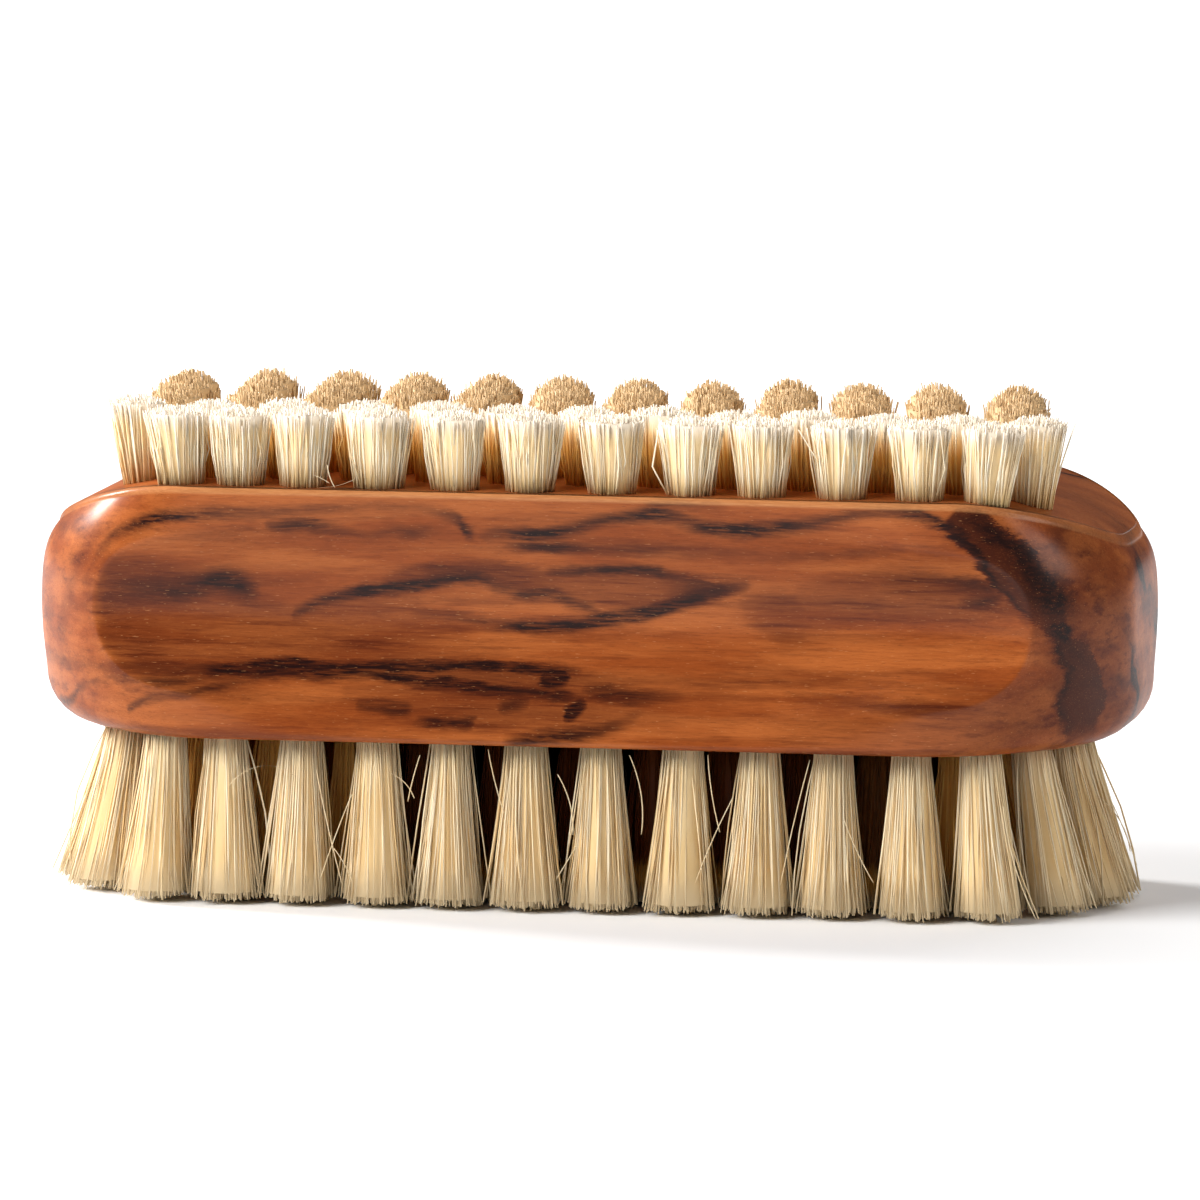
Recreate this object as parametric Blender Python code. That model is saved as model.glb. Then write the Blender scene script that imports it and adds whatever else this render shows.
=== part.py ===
"""Two-sided nail brush: a carved wooden body with a field of bristle tufts above and a longer one below.

X runs along the brush, Y across it and Z up. The brush stands on its lower bristle tips at Z = 0, and its
origin lies under the middle of the body. Sizes are in metres and angles in degrees.

The real tufts are folded over small wire anchors in blind holes. Here each row of tufts is one piece: its
strands are fused to a slice of the wood under them, and the slice seats in a slot of the body.
"""

import bisect
import math

import bmesh
import bpy

# Wooden body
BODY_LENGTH = 0.100
BODY_WIDTH = 0.040
BODY_HEIGHT = 0.0226
CORNER_RUN = 0.0170
CORNER_DEPTH = 0.0149
CORNER_POWERS = (2.2, 1.17)
TOP_SHOULDER_RUN = 0.0153
TOP_SHOULDER_DROP = 0.0059
TOP_SHOULDER_POWERS = (1.9, 1.37)
BASE_SHOULDER_RUN = 0.0101
BASE_SHOULDER_DROP = 0.0009
BASE_SHOULDER_POWERS = (3.5, 1.0)
TOP_RIM_RADIUS = 0.0005
TOP_END_RIM_RADIUS = 0.0014
BASE_RIM_RADIUS = 0.0006
BASE_END_RIM_RADIUS = 0.0037
RIM_RUN = 0.0170
RIM_POWER = 1.5
END_STATIONS = 8
RIM_SEGMENTS = 4
RIM_LIMIT_SHARE = 0.9

# Finger groove in each long side
GROOVE_END_MARGIN = 0.0080
GROOVE_FACE_MARGIN = 0.0006
GROOVE_SHIFT = -0.0008
GROOVE_DEPTH = 0.0042
GROOVE_END_RUN = 0.0035
GROOVE_LIFT = 0.0002
GROOVE_OUTLINE_POWER = 4.2
GROOVE_STATIONS = 30
GROOVE_POINTS = 8
CUT_OVERRUN = 0.003

# Rows of tufts, alike on both faces
ROW_COUNT = 6
FRONT_ROWS = 2
STAGGERED_ROW = 1
ROW_TO_SIDE = 0.0038
BACKING_WIDTH = 0.0040
BACKING_DEPTH = 0.0018
ROOT_DEPTH = 0.0014
SEAT_GAP = 0.0003
BACKING_END_SEGMENTS = 4

# Strands of a tuft: each one is a kite in section, with its point near the tuft's axis
STRANDS_PER_TUFT = 3
STRAND_CORE_SHARE = 0.13
STRAND_HALF_ANGLE = 51.0
TUFT_TURN = 137.5
LEAN_POWER = 8.0

# Upper tufts: short and nearly straight. The front rows are nearly flat on top and the others are domed
TOP_PITCH = 0.0069
TOP_REACH = 0.0074
TOP_ROOT_RADIUS = 0.00175
TOP_TIP_RADIUS = 0.0026
TOP_FRONT_DOME = 0.0007
TOP_BACK_DOME = 0.0018
TOP_END_MARGIN = 0.0120
TOP_END_BOW = 0.0006
TOP_STAGGER = 0.0027
TOP_SHIFT = -0.0006
TOP_SLANT_SHARE = 0.128
TOP_END_LEAN = 6.0

# Lower tufts: long and flared, cut flat where they stand
BASE_PITCH = 0.0070
BASE_REACH = 0.0151
BASE_ROOT_RADIUS = 0.0017
BASE_TIP_RADIUS = 0.0030
BASE_END_MARGIN = 0.0071
BASE_END_BOW = 0.0050
BASE_END_LEAN = 12.0
STAND_CUT = 0.0005

# Places worked out from the sizes above
HALF_LENGTH = BODY_LENGTH / 2
HALF_WIDTH = BODY_WIDTH / 2
HALF_HEIGHT = BODY_HEIGHT / 2
MID_HEIGHT = BASE_REACH + HALF_HEIGHT
GROOVE_HALF_LENGTH = HALF_LENGTH - GROOVE_END_MARGIN
GROOVE_HALF_HEIGHT = HALF_HEIGHT - GROOVE_FACE_MARGIN
FIELD_HALF_WIDTH = HALF_WIDTH - ROW_TO_SIDE

WOOD_COLOR = (0.34, 0.11, 0.035, 1.0)
BRISTLE_COLOR = (0.74, 0.57, 0.34, 1.0)


def clear_scene():
    """Remove what the new file starts with."""
    for obj in list(bpy.data.objects):
        bpy.data.objects.remove(obj, do_unlink=True)


def make_material(name, color, roughness):
    """Return a plain finish of one colour."""
    material = bpy.data.materials.new(name)
    material.use_nodes = True
    shader = material.node_tree.nodes["Principled BSDF"]
    shader.inputs["Base Color"].default_value = color
    shader.inputs["Roughness"].default_value = roughness
    shader.inputs["Metallic"].default_value = 0.0
    return material


def wood_material():
    """Oiled reddish-brown hardwood."""
    return make_material("oiled_wood", WOOD_COLOR, 0.38)


def bristle_material(name):
    """Pale natural bristle."""
    return make_material(name, BRISTLE_COLOR, 0.6)


def add_object(name, mesh_data):
    """Turn a bmesh into an object with its faces pointing out."""
    bmesh.ops.recalc_face_normals(mesh_data, faces=mesh_data.faces)
    mesh = bpy.data.meshes.new(name)
    mesh_data.to_mesh(mesh)
    mesh_data.free()
    obj = bpy.data.objects.new(name, mesh)
    bpy.context.scene.collection.objects.link(obj)
    return obj


def shade_round(obj, angle):
    """Shade an object smooth, with its creases kept sharp."""
    obj.data.shade_smooth()
    obj.data.set_sharp_from_angle(angle=math.radians(angle))


def make_guide(obj):
    """Keep an object as a cutter or a guide that isn't part of the brush."""
    obj.hide_render = True
    obj.display_type = "WIRE"
    return obj


def add_boolean(obj, other, operation):
    """Combine an object with another by an exact Boolean."""
    modifier = obj.modifiers.new(other.name, "BOOLEAN")
    modifier.operation = operation
    modifier.solver = "EXACT"
    modifier.object = other


def add_ring(mesh_data, points):
    """Add one ring of vertices."""
    return [mesh_data.verts.new(point) for point in points]


def bridge(mesh_data, ring, following):
    """Join two rings of the same length with quads."""
    count = len(ring)
    for index in range(count):
        after = (index + 1) % count
        mesh_data.faces.new((ring[index], ring[after], following[after], following[index]))


def end_share(x, run):
    """Share of the way from where a curve starts to the body's end: 0 in the middle and 1 at the end."""
    share = (abs(x) - (HALF_LENGTH - run)) / run
    return min(max(share, 0.0), 1.0)


def shoulder(x, half_size, run, drop, powers):
    """Return the half-size at x: full in the middle, then falling along a power curve to the end."""
    run_power, drop_power = powers
    return half_size - drop + drop * (1 - end_share(x, run) ** run_power) ** (1 / drop_power)


def side_at(x):
    """Distance from the middle plane to the body's side at x."""
    return shoulder(x, HALF_WIDTH, CORNER_RUN, CORNER_DEPTH, CORNER_POWERS)


def top_at(x):
    """Height of the upper face over the body's middle at x."""
    return shoulder(x, HALF_HEIGHT, TOP_SHOULDER_RUN, TOP_SHOULDER_DROP, TOP_SHOULDER_POWERS)


def base_at(x):
    """Depth of the lower face under the body's middle at x."""
    return shoulder(x, HALF_HEIGHT, BASE_SHOULDER_RUN, BASE_SHOULDER_DROP, BASE_SHOULDER_POWERS)


def rim_at(x, up):
    """Radius of an upper or lower edge at x: crisp in the middle and softer at the ends."""
    middle, end = BASE_RIM_RADIUS, BASE_END_RIM_RADIUS
    if up > 0:
        middle, end = TOP_RIM_RADIUS, TOP_END_RIM_RADIUS
    limit = RIM_LIMIT_SHARE * min(side_at(x), top_at(x), base_at(x))
    return min(middle + (end - middle) * end_share(x, RIM_RUN) ** RIM_POWER, limit)


def body_section(x):
    """Rounded rectangle of the body at x, as points in order round it."""
    corners = ((1, 1, 0), (-1, 1, 1), (-1, -1, 2), (1, -1, 3))
    points = []
    for side, up, quarter in corners:
        radius = rim_at(x, up)
        reach = top_at(x) if up > 0 else base_at(x)
        centre_y = side * (side_at(x) - radius)
        centre_z = MID_HEIGHT + up * (reach - radius)
        for step in range(RIM_SEGMENTS + 1):
            angle = math.pi / 2 * (quarter + step / RIM_SEGMENTS)
            points.append((x, centre_y + radius * math.cos(angle), centre_z + radius * math.sin(angle)))
    return points


def body_stations():
    """Places of the body's sections: none in its straight middle, and closest together at its ends."""
    run = max(CORNER_RUN, TOP_SHOULDER_RUN, BASE_SHOULDER_RUN, RIM_RUN)
    shares = [math.sin(math.pi / 2 * step / END_STATIONS) for step in range(END_STATIONS + 1)]
    right = [HALF_LENGTH - run + run * share for share in shares]
    return [-x for x in reversed(right)] + right


def make_body_form(name):
    """Loft the body's sections from end to end."""
    mesh_data = bmesh.new()
    rings = [add_ring(mesh_data, body_section(x)) for x in body_stations()]
    for ring, following in zip(rings, rings[1:]):
        bridge(mesh_data, ring, following)
    mesh_data.faces.new(rings[0])
    mesh_data.faces.new(rings[-1])
    return add_object(name, mesh_data)


def wall_at(x):
    """Distance from the middle plane to the lofted form's side at x: straight between its sections."""
    stations = body_stations()
    after = bisect.bisect_right(stations, x)
    start, end = stations[after - 1], stations[after]
    return side_at(start) + (side_at(end) - side_at(start)) * (x - start) / (end - start)


def groove_floor(place):
    """Depth of the groove's floor under the flat of the side, at a place from the groove's own middle.

    The floor is level, and near each end it rises along a parabola to meet the side's curve.
    """
    end = math.copysign(GROOVE_HALF_LENGTH, place)
    end_depth = HALF_WIDTH - wall_at(GROOVE_SHIFT + end)
    rise = max(abs(place) - (GROOVE_HALF_LENGTH - GROOVE_END_RUN), 0.0) / GROOVE_END_RUN
    return GROOVE_DEPTH + (end_depth - GROOVE_DEPTH) * rise**2


def groove_section(side, place):
    """Section of a groove's cutter: a curve sunk into the side, closed outside the body.

    The curve is a parabola across the body, as wide as the groove's outline is there, and reaches the
    floor in its middle. Outside the outline it stands clear of the wood.
    """
    x = GROOVE_SHIFT + place
    wall = wall_at(x)
    half = GROOVE_HALF_HEIGHT * math.sqrt(1 - (abs(place) / GROOVE_HALF_LENGTH) ** GROOVE_OUTLINE_POWER)
    full_depth = groove_floor(place) - (HALF_WIDTH - wall) + GROOVE_LIFT
    points = [(x, side * (HALF_WIDTH + CUT_OVERRUN), MID_HEIGHT - half)]
    for step in range(GROOVE_POINTS + 1):
        share = 2 * step / GROOVE_POINTS - 1
        depth = full_depth * (1 - share**2) - GROOVE_LIFT
        points.append((x, side * (wall - depth), MID_HEIGHT + half * share))
    points.append((x, side * (HALF_WIDTH + CUT_OVERRUN), MID_HEIGHT + half))
    return points


def make_groove_cutter(name, side):
    """Loft the cutter of one finger groove from end to end."""
    mesh_data = bmesh.new()
    rings = []
    for step in range(1, GROOVE_STATIONS):
        place = -GROOVE_HALF_LENGTH * math.cos(math.pi * step / GROOVE_STATIONS)
        rings.append(add_ring(mesh_data, groove_section(side, place)))
    for ring, following in zip(rings, rings[1:]):
        bridge(mesh_data, ring, following)
    mesh_data.faces.new(rings[0])
    mesh_data.faces.new(rings[-1])
    return make_guide(add_object(name, mesh_data))


class Field:
    """One face's field of tufts: where its rows lie and how its tufts stand."""

    def __init__(
        self, name, up, pitch, reach, root_radius, tip_radius, domes, end_margin, end_bow, stagger, shift,
        slant_share, end_lean,
    ):
        """Keep the field's sizes. up is 1 for the upper face and -1 for the lower."""
        self.name = name
        self.up = up
        self.pitch = pitch
        self.reach = reach
        self.root_radius = root_radius
        self.tip_radius = tip_radius
        self.front_dome, self.back_dome = domes
        self.half_length = HALF_LENGTH - end_margin
        self.end_bow = end_bow
        self.stagger = stagger
        self.shift = shift
        self.slant_share = slant_share
        self.end_lean = math.radians(end_lean)
        self.face = MID_HEIGHT + up * HALF_HEIGHT
        self.tip = self.face + up * reach

    def row_y(self, row):
        """Place of a row across the body, counted from the front."""
        return FIELD_HALF_WIDTH * (2 * row / (ROW_COUNT - 1) - 1)

    def row_half(self, row):
        """Half the distance between a row's end tufts: the ends are bowed, and one row reaches further."""
        half = self.half_length - self.end_bow * (self.row_y(row) / FIELD_HALF_WIDTH) ** 2
        return half + self.stagger if row == STAGGERED_ROW else half

    def row_middle(self, row):
        """Place along the body of a row's middle."""
        return self.shift - self.slant_share * self.row_y(row)

    def row_dome(self, row):
        """How far the middle of a tuft's top stands above its edge."""
        return self.front_dome if row < FRONT_ROWS else self.back_dome

    def tuft_places(self, row):
        """Even places along a row, each as its x and its share of the way from the middle to the end."""
        half = self.row_half(row)
        gaps = max(round(2 * half / self.pitch), 1)
        shares = [2 * step / gaps - 1 for step in range(gaps + 1)]
        return [(self.row_middle(row) + half * share, share) for share in shares]


def make_strip(name, field, row, gap):
    """Round-ended bar along a row, from the bottom of its slot to outside the body."""
    radius = BACKING_WIDTH / 2 + gap
    half = field.row_half(row) + BACKING_WIDTH / 2 - radius + gap
    bottom = field.face - field.up * (BACKING_DEPTH + gap)
    outside = field.face + field.up * CUT_OVERRUN
    outline = []
    for end in (1, -1):
        for step in range(BACKING_END_SEGMENTS + 1):
            angle = math.pi * (step / BACKING_END_SEGMENTS - 1 / 2)
            x = field.row_middle(row) + end * (half + radius * math.cos(angle))
            outline.append((x, field.row_y(row) + end * radius * math.sin(angle)))
    mesh_data = bmesh.new()
    lower = add_ring(mesh_data, [(x, y, bottom) for x, y in outline])
    upper = add_ring(mesh_data, [(x, y, outside) for x, y in outline])
    bridge(mesh_data, lower, upper)
    mesh_data.faces.new(lower)
    mesh_data.faces.new(upper)
    return add_object(name, mesh_data)


def kite_points(centre, radius, turn, dome):
    """Section of one strand: its inner corner, one side, its outer corner and the other side."""
    x, y, z = centre
    half_angle = math.radians(STRAND_HALF_ANGLE)
    inner = STRAND_CORE_SHARE * radius
    corners = ((inner, 0, dome), (radius, -half_angle, 0), (radius, 0, 0), (radius, half_angle, 0))
    return [
        (x + reach * math.cos(turn + angle), y + reach * math.sin(turn + angle), z + rise)
        for reach, angle, rise in corners
    ]


def make_strands(name, field, row):
    """All strands of a row's tufts, each a flared bar of four sides from inside the backing to its tip."""
    dome = field.row_dome(row)
    root_z = field.face - field.up * ROOT_DEPTH
    tip_z = field.tip - field.up * dome if dome else field.tip + field.up * STAND_CUT
    mesh_data = bmesh.new()
    for number, (x, share) in enumerate(field.tuft_places(row)):
        slope = math.copysign(math.tan(field.end_lean * abs(share) ** LEAN_POWER), share)
        root = (x - slope * ROOT_DEPTH, field.row_y(row), root_z)
        tip = (x + slope * field.reach, field.row_y(row), tip_z)
        for strand in range(STRANDS_PER_TUFT):
            turn = 2 * math.pi * strand / STRANDS_PER_TUFT + math.radians(TUFT_TURN) * (number + row)
            lower = add_ring(mesh_data, kite_points(root, field.root_radius, turn, 0))
            upper = add_ring(mesh_data, kite_points(tip, field.tip_radius, turn, field.up * dome))
            bridge(mesh_data, lower, upper)
            mesh_data.faces.new(lower)
            mesh_data.faces.new(upper)
    if not dome:
        cut_flat(mesh_data, field.tip)
    return make_guide(add_object(name, mesh_data))


def cut_flat(mesh_data, height):
    """Cut away what lies below a height and close each cut strand with a flat tip."""
    geometry = mesh_data.verts[:] + mesh_data.edges[:] + mesh_data.faces[:]
    bmesh.ops.bisect_plane(
        mesh_data, geom=geometry, plane_co=(0, 0, height), plane_no=(0, 0, -1), clear_outer=True
    )
    open_edges = [edge for edge in mesh_data.edges if edge.is_boundary]
    bmesh.ops.holes_fill(mesh_data, edges=open_edges, sides=0)


def make_row(field, row, body_form):
    """One row of tufts: the slice of wood that it is rooted in, with the strands fused to it."""
    name = f"{field.name}_bristle_row_{row + 1}"
    strands = make_strands(f"{name}_strands", field, row)
    piece = make_strip(name, field, row, 0)
    add_boolean(piece, body_form, "INTERSECT")
    add_boolean(piece, strands, "UNION")
    piece.data.materials.append(bristle_material(name))
    return piece


def make_body(body_form, fields):
    """The wooden body: its lofted form, with a groove in each long side and a slot for each row."""
    body = bpy.data.objects.new("wooden_body", body_form.data.copy())
    bpy.context.scene.collection.objects.link(body)
    shade_round(body, 30)
    for name, side in (("front_groove", -1), ("back_groove", 1)):
        add_boolean(body, make_groove_cutter(name, side), "DIFFERENCE")
    for field in fields:
        for row in range(ROW_COUNT):
            slot = make_strip(f"{field.name}_slot_{row + 1}", field, row, SEAT_GAP)
            add_boolean(body, make_guide(slot), "DIFFERENCE")
    body.data.materials.append(wood_material())
    return body


def main():
    """Build the brush."""
    clear_scene()
    fields = (
        Field(
            "upper", 1, TOP_PITCH, TOP_REACH, TOP_ROOT_RADIUS, TOP_TIP_RADIUS,
            (TOP_FRONT_DOME, TOP_BACK_DOME), TOP_END_MARGIN, TOP_END_BOW, TOP_STAGGER, TOP_SHIFT,
            TOP_SLANT_SHARE, TOP_END_LEAN,
        ),
        Field(
            "lower", -1, BASE_PITCH, BASE_REACH, BASE_ROOT_RADIUS, BASE_TIP_RADIUS, (0, 0),
            BASE_END_MARGIN, BASE_END_BOW, 0, 0, 0, BASE_END_LEAN,
        ),
    )
    body_form = make_guide(make_body_form("body_form"))
    make_body(body_form, fields)
    for field in fields:
        for row in range(ROW_COUNT):
            make_row(field, row, body_form)


main()
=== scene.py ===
"""Two-sided wooden nail brush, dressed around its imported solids.

The wooden body is one fine surface with its finger grooves worked into it. Each row of tufts is a set of fine
bristles that stands where the row's solid does. The brush stands on its lower tips on a pale studio floor.
Object sizes are in metres, and the wood's figure is laid out in millimetres from the middle of the body.
"""

import logging
import math
from dataclasses import dataclass, field
from enum import Enum
from typing import Any, Sequence

import bmesh
import bpy
import numpy as np
from mathutils import Matrix, Vector


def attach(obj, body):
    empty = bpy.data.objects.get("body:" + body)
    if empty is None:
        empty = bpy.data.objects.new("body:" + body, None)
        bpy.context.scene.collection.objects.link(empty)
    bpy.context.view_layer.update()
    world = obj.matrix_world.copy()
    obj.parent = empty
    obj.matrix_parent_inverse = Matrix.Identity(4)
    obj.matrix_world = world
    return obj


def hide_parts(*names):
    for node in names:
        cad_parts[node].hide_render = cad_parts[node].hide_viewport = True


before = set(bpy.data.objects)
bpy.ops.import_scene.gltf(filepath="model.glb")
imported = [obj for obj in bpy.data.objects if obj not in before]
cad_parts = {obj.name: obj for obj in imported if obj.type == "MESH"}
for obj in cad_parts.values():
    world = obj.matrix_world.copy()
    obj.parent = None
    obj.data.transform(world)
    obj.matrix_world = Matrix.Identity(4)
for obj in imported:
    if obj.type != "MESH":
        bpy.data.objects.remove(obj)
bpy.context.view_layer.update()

log = logging.getLogger("nail_brush")

MM = 0.001
BODY = "root"
GOLDEN_ANGLE = math.pi * (3 - math.sqrt(5))

Socket = bpy.types.NodeSocket
Color = tuple[float, float, float, float]


# Mesh helpers


def make_object(
    name: str, vertices: np.ndarray, faces: Sequence[np.ndarray], values: dict[str, np.ndarray] | None = None
) -> bpy.types.Object:
    """Put whole arrays of vertices and faces into a new smooth-shaded object at the origin.

    Args:
        name: The object's name.
        vertices: Places, one row of x, y and z for each.
        faces: Blocks of faces, each an array with one row of vertex numbers for each face.
        values: Numbers for each vertex, by the name of the attribute that holds them.

    Returns:
        The new object.
    """
    corners = np.concatenate([block.ravel() for block in faces]).astype(np.int32)
    sizes = np.concatenate([np.full(len(block), block.shape[1]) for block in faces])
    starts = np.concatenate(([0], np.cumsum(sizes)[:-1])).astype(np.int32)
    mesh = bpy.data.meshes.new(name)
    mesh.vertices.add(len(vertices))
    mesh.vertices.foreach_set("co", vertices.astype(np.float32).ravel())
    mesh.loops.add(len(corners))
    mesh.loops.foreach_set("vertex_index", corners)
    mesh.polygons.add(len(starts))
    mesh.polygons.foreach_set("loop_start", starts)
    mesh.update(calc_edges=True)
    mesh.validate()
    mesh.shade_smooth()
    for key, numbers in (values or {}).items():
        attribute = mesh.attributes.new(key, "FLOAT", "POINT")
        attribute.data.foreach_set("value", numbers.astype(np.float32).ravel())
    obj = bpy.data.objects.new(name, mesh)
    bpy.context.scene.collection.objects.link(obj)
    return obj


def ring_faces(rings: int, points: int) -> np.ndarray:
    """Return the quads that join rings of points, each ring closed on itself and the rings in order."""
    ring, point = np.meshgrid(np.arange(rings - 1), np.arange(points), indexing="ij")
    after = (point + 1) % points
    near, far = ring * points, (ring + 1) * points
    return np.stack((near + point, near + after, far + after, far + point), axis=-1).reshape(-1, 4)


def tubes(
    paths: np.ndarray, radius: np.ndarray, turn: np.ndarray, sides: int
) -> tuple[np.ndarray, list[np.ndarray]]:
    """Sweep a small level polygon along many steep paths at once and close both ends.

    A tube's points are its path's places plus radius times the cosine and sine of evenly spaced angles.

    Args:
        paths: Places along each path, shaped (tube, station, 3).
        radius: Each tube's radius at each station, shaped (tube, station).
        turn: Each tube's own turn, in radians.
        sides: How many sides each tube has.

    Returns:
        The vertices, and the faces as blocks of quads and end polygons.
    """
    count, stations = paths.shape[:2]
    angles = turn[:, None] + 2 * np.pi * np.arange(sides) / sides
    circle = np.stack((np.cos(angles), np.sin(angles), np.zeros_like(angles)), axis=-1)
    points = paths[:, :, None, :] + radius[:, :, None, None] * circle[:, None, :, :]
    first = np.arange(count)[:, None, None] * stations * sides
    quads = (first + ring_faces(stations, sides)[None]).reshape(-1, 4)
    start = np.arange(count)[:, None] * stations * sides + np.arange(sides)[::-1]
    end = np.arange(count)[:, None] * stations * sides + (stations - 1) * sides + np.arange(sides)
    rising = paths[:, -1, 2] > paths[:, 0, 2]
    blocks = []
    for block, faces_each in ((quads, (stations - 1) * sides), (start, 1), (end, 1)):
        up = np.repeat(rising, faces_each)
        blocks.append(np.where(up[:, None], block, block[:, ::-1]))
    return points.reshape(-1, 3), blocks


def weld_mesh(mesh: bpy.types.Mesh, distance: float) -> None:
    """Join a mesh's points that lie within a distance of each other, and drop faces left without area.

    Args:
        mesh: The mesh, which is changed in place.
        distance: How far apart two points that become one may be.
    """
    working = bmesh.new()
    working.from_mesh(mesh)
    bmesh.ops.remove_doubles(working, verts=working.verts, dist=distance)
    bmesh.ops.dissolve_degenerate(working, edges=working.edges, dist=distance)
    working.to_mesh(mesh)
    working.free()


def soft_step(values: np.ndarray, start: float, end: float) -> np.ndarray:
    """Return 0 before start and 1 after end, with an even S curve between."""
    share = np.clip((values - start) / (end - start), 0, 1)
    return share * share * (3 - 2 * share)


# Finishes


@dataclass(frozen=True)
class Waves:
    """Smooth noise: its waves to a unit along each axis, its octaves, and how rough they are."""

    scale: tuple[float, float, float]
    detail: float = 2.0
    roughness: float = 0.5


@dataclass(frozen=True)
class Ramp:
    """An S curve that is low where a value is at start and high where it is at end."""

    start: float
    end: float
    low: float = 0.0
    high: float = 1.0


class NodeGraph:
    """Short calls for building one material's nodes around its Principled shader."""

    def __init__(self, name: str) -> None:
        """Start a material.

        Args:
            name: The material's name.
        """
        self.material = bpy.data.materials.new(name)
        self.material.use_nodes = True
        self.tree = self.material.node_tree
        self.shader = self.tree.nodes["Principled BSDF"]

    def add(self, kind: str, **settings: Any) -> bpy.types.Node:
        """Add a node and set its properties."""
        node = self.tree.nodes.new(f"ShaderNode{kind}")
        for key, value in settings.items():
            setattr(node, key, value)
        return node

    def feed(self, socket: Socket, value: Any) -> None:
        """Link a socket to another one, or set its value."""
        if isinstance(value, bpy.types.NodeSocket):
            self.tree.links.new(value, socket)
        else:
            socket.default_value = value

    def math(self, operation: str, first: Any, second: Any = 0.0, third: Any = 0.0) -> Socket:
        """Return the result of one sum on numbers."""
        node = self.add("Math", operation=operation)
        for socket, value in zip(node.inputs, (first, second, third)):
            self.feed(socket, value)
        return node.outputs[0]

    def scaled(self, vector: Any, scale: Sequence[float], shift: Sequence[float] = (0, 0, 0)) -> Socket:
        """Return a vector times a scale, plus a shift."""
        node = self.add("VectorMath", operation="MULTIPLY_ADD")
        for socket, value in zip(node.inputs, (vector, scale, shift)):
            self.feed(socket, value)
        return node.outputs[0]

    def noise(self, vector: Any, waves: Waves) -> Socket:
        """Return smooth noise from about 0 to 1."""
        node = self.add("TexNoise")
        self.feed(node.inputs["Vector"], self.scaled(vector, waves.scale))
        for key, value in (("Scale", 1.0), ("Detail", waves.detail), ("Roughness", waves.roughness)):
            node.inputs[key].default_value = value
        return node.outputs[0]

    def centred(self, vector: Any, waves: Waves) -> Socket:
        """Return smooth noise from about -0.5 to 0.5."""
        return self.math("SUBTRACT", self.noise(vector, waves), 0.5)

    def ramp(self, value: Any, ramp: Ramp) -> Socket:
        """Look a number up on an S curve."""
        node = self.add("MapRange", interpolation_type="SMOOTHSTEP")
        numbers = (value, ramp.start, ramp.end, ramp.low, ramp.high)
        for key, number in zip(("Value", "From Min", "From Max", "To Min", "To Max"), numbers):
            self.feed(node.inputs[key], number)
        return node.outputs[0]

    def mix(self, share: Any, first: Any, second: Any, blend: str = "MIX") -> Socket:
        """Return a colour between two colours."""
        node = self.add("Mix", data_type="RGBA", blend_type=blend)
        for socket, value in ((node.inputs[0], share), (node.inputs[6], first), (node.inputs[7], second)):
            self.feed(socket, value)
        return node.outputs[2]

    def curves(self, value: Any, points: Sequence[Sequence[tuple[float, float]]]) -> Sequence[Socket]:
        """Look one number up in three curves at once.

        Args:
            value: The number, from -1 to 1.
            points: The points of each of the three curves, in order.

        Returns:
            The three results.
        """
        node = self.add("VectorCurve")
        self.feed(node.inputs["Vector"], value)
        for curve, places in zip(node.mapping.curves, points):
            curve.points[0].location = places[0]
            curve.points[1].location = places[-1]
            for place in places[1:-1]:
                curve.points.new(*place)
        node.mapping.extend = "HORIZONTAL"
        node.mapping.update()
        return self.split(node.outputs[0])

    def split(self, vector: Any) -> Sequence[Socket]:
        """Return a vector's three parts."""
        node = self.add("SeparateXYZ")
        self.feed(node.inputs[0], vector)
        return node.outputs

    def attribute(self, name: str) -> Socket:
        """Return a number that the mesh holds."""
        return self.add("Attribute", attribute_name=name).outputs["Fac"]

    def bump(self, height: Any, strength: float, distance: float) -> None:
        """Let a height wrinkle the surface."""
        node = self.add("Bump")
        node.inputs["Strength"].default_value = strength
        node.inputs["Distance"].default_value = distance
        self.feed(node.inputs["Height"], height)
        self.feed(self.shader.inputs["Normal"], node.outputs[0])

    def finish(self, **sockets: Any) -> bpy.types.Material:
        """Set or link the shader's sockets, named with underscores for spaces, and return the material."""
        for key, value in sockets.items():
            self.feed(self.shader.inputs[key.replace("_", " ")], value)
        return self.material


class Tint(Enum):
    """What a streak does to the wood's colour."""

    LINE = "line"
    SHADE = "shade"


class Course(Enum):
    """Which way a streak runs over the front of the body."""

    ALONG = "along"
    UPRIGHT = "upright"


@dataclass(frozen=True)
class Streak:
    """One drawn streak of the wood's figure, in millimetres from the body's middle.

    Each point is its place along the streak's course, its place across it, the streak's half width there, and
    its strength from 0 to 1. softness is how far the streak takes to fade at its sides.
    """

    name: str
    softness: float
    points: tuple[tuple[float, float, float, float], ...]
    tint: Tint = Tint.LINE
    course: Course = Course.ALONG


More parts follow.
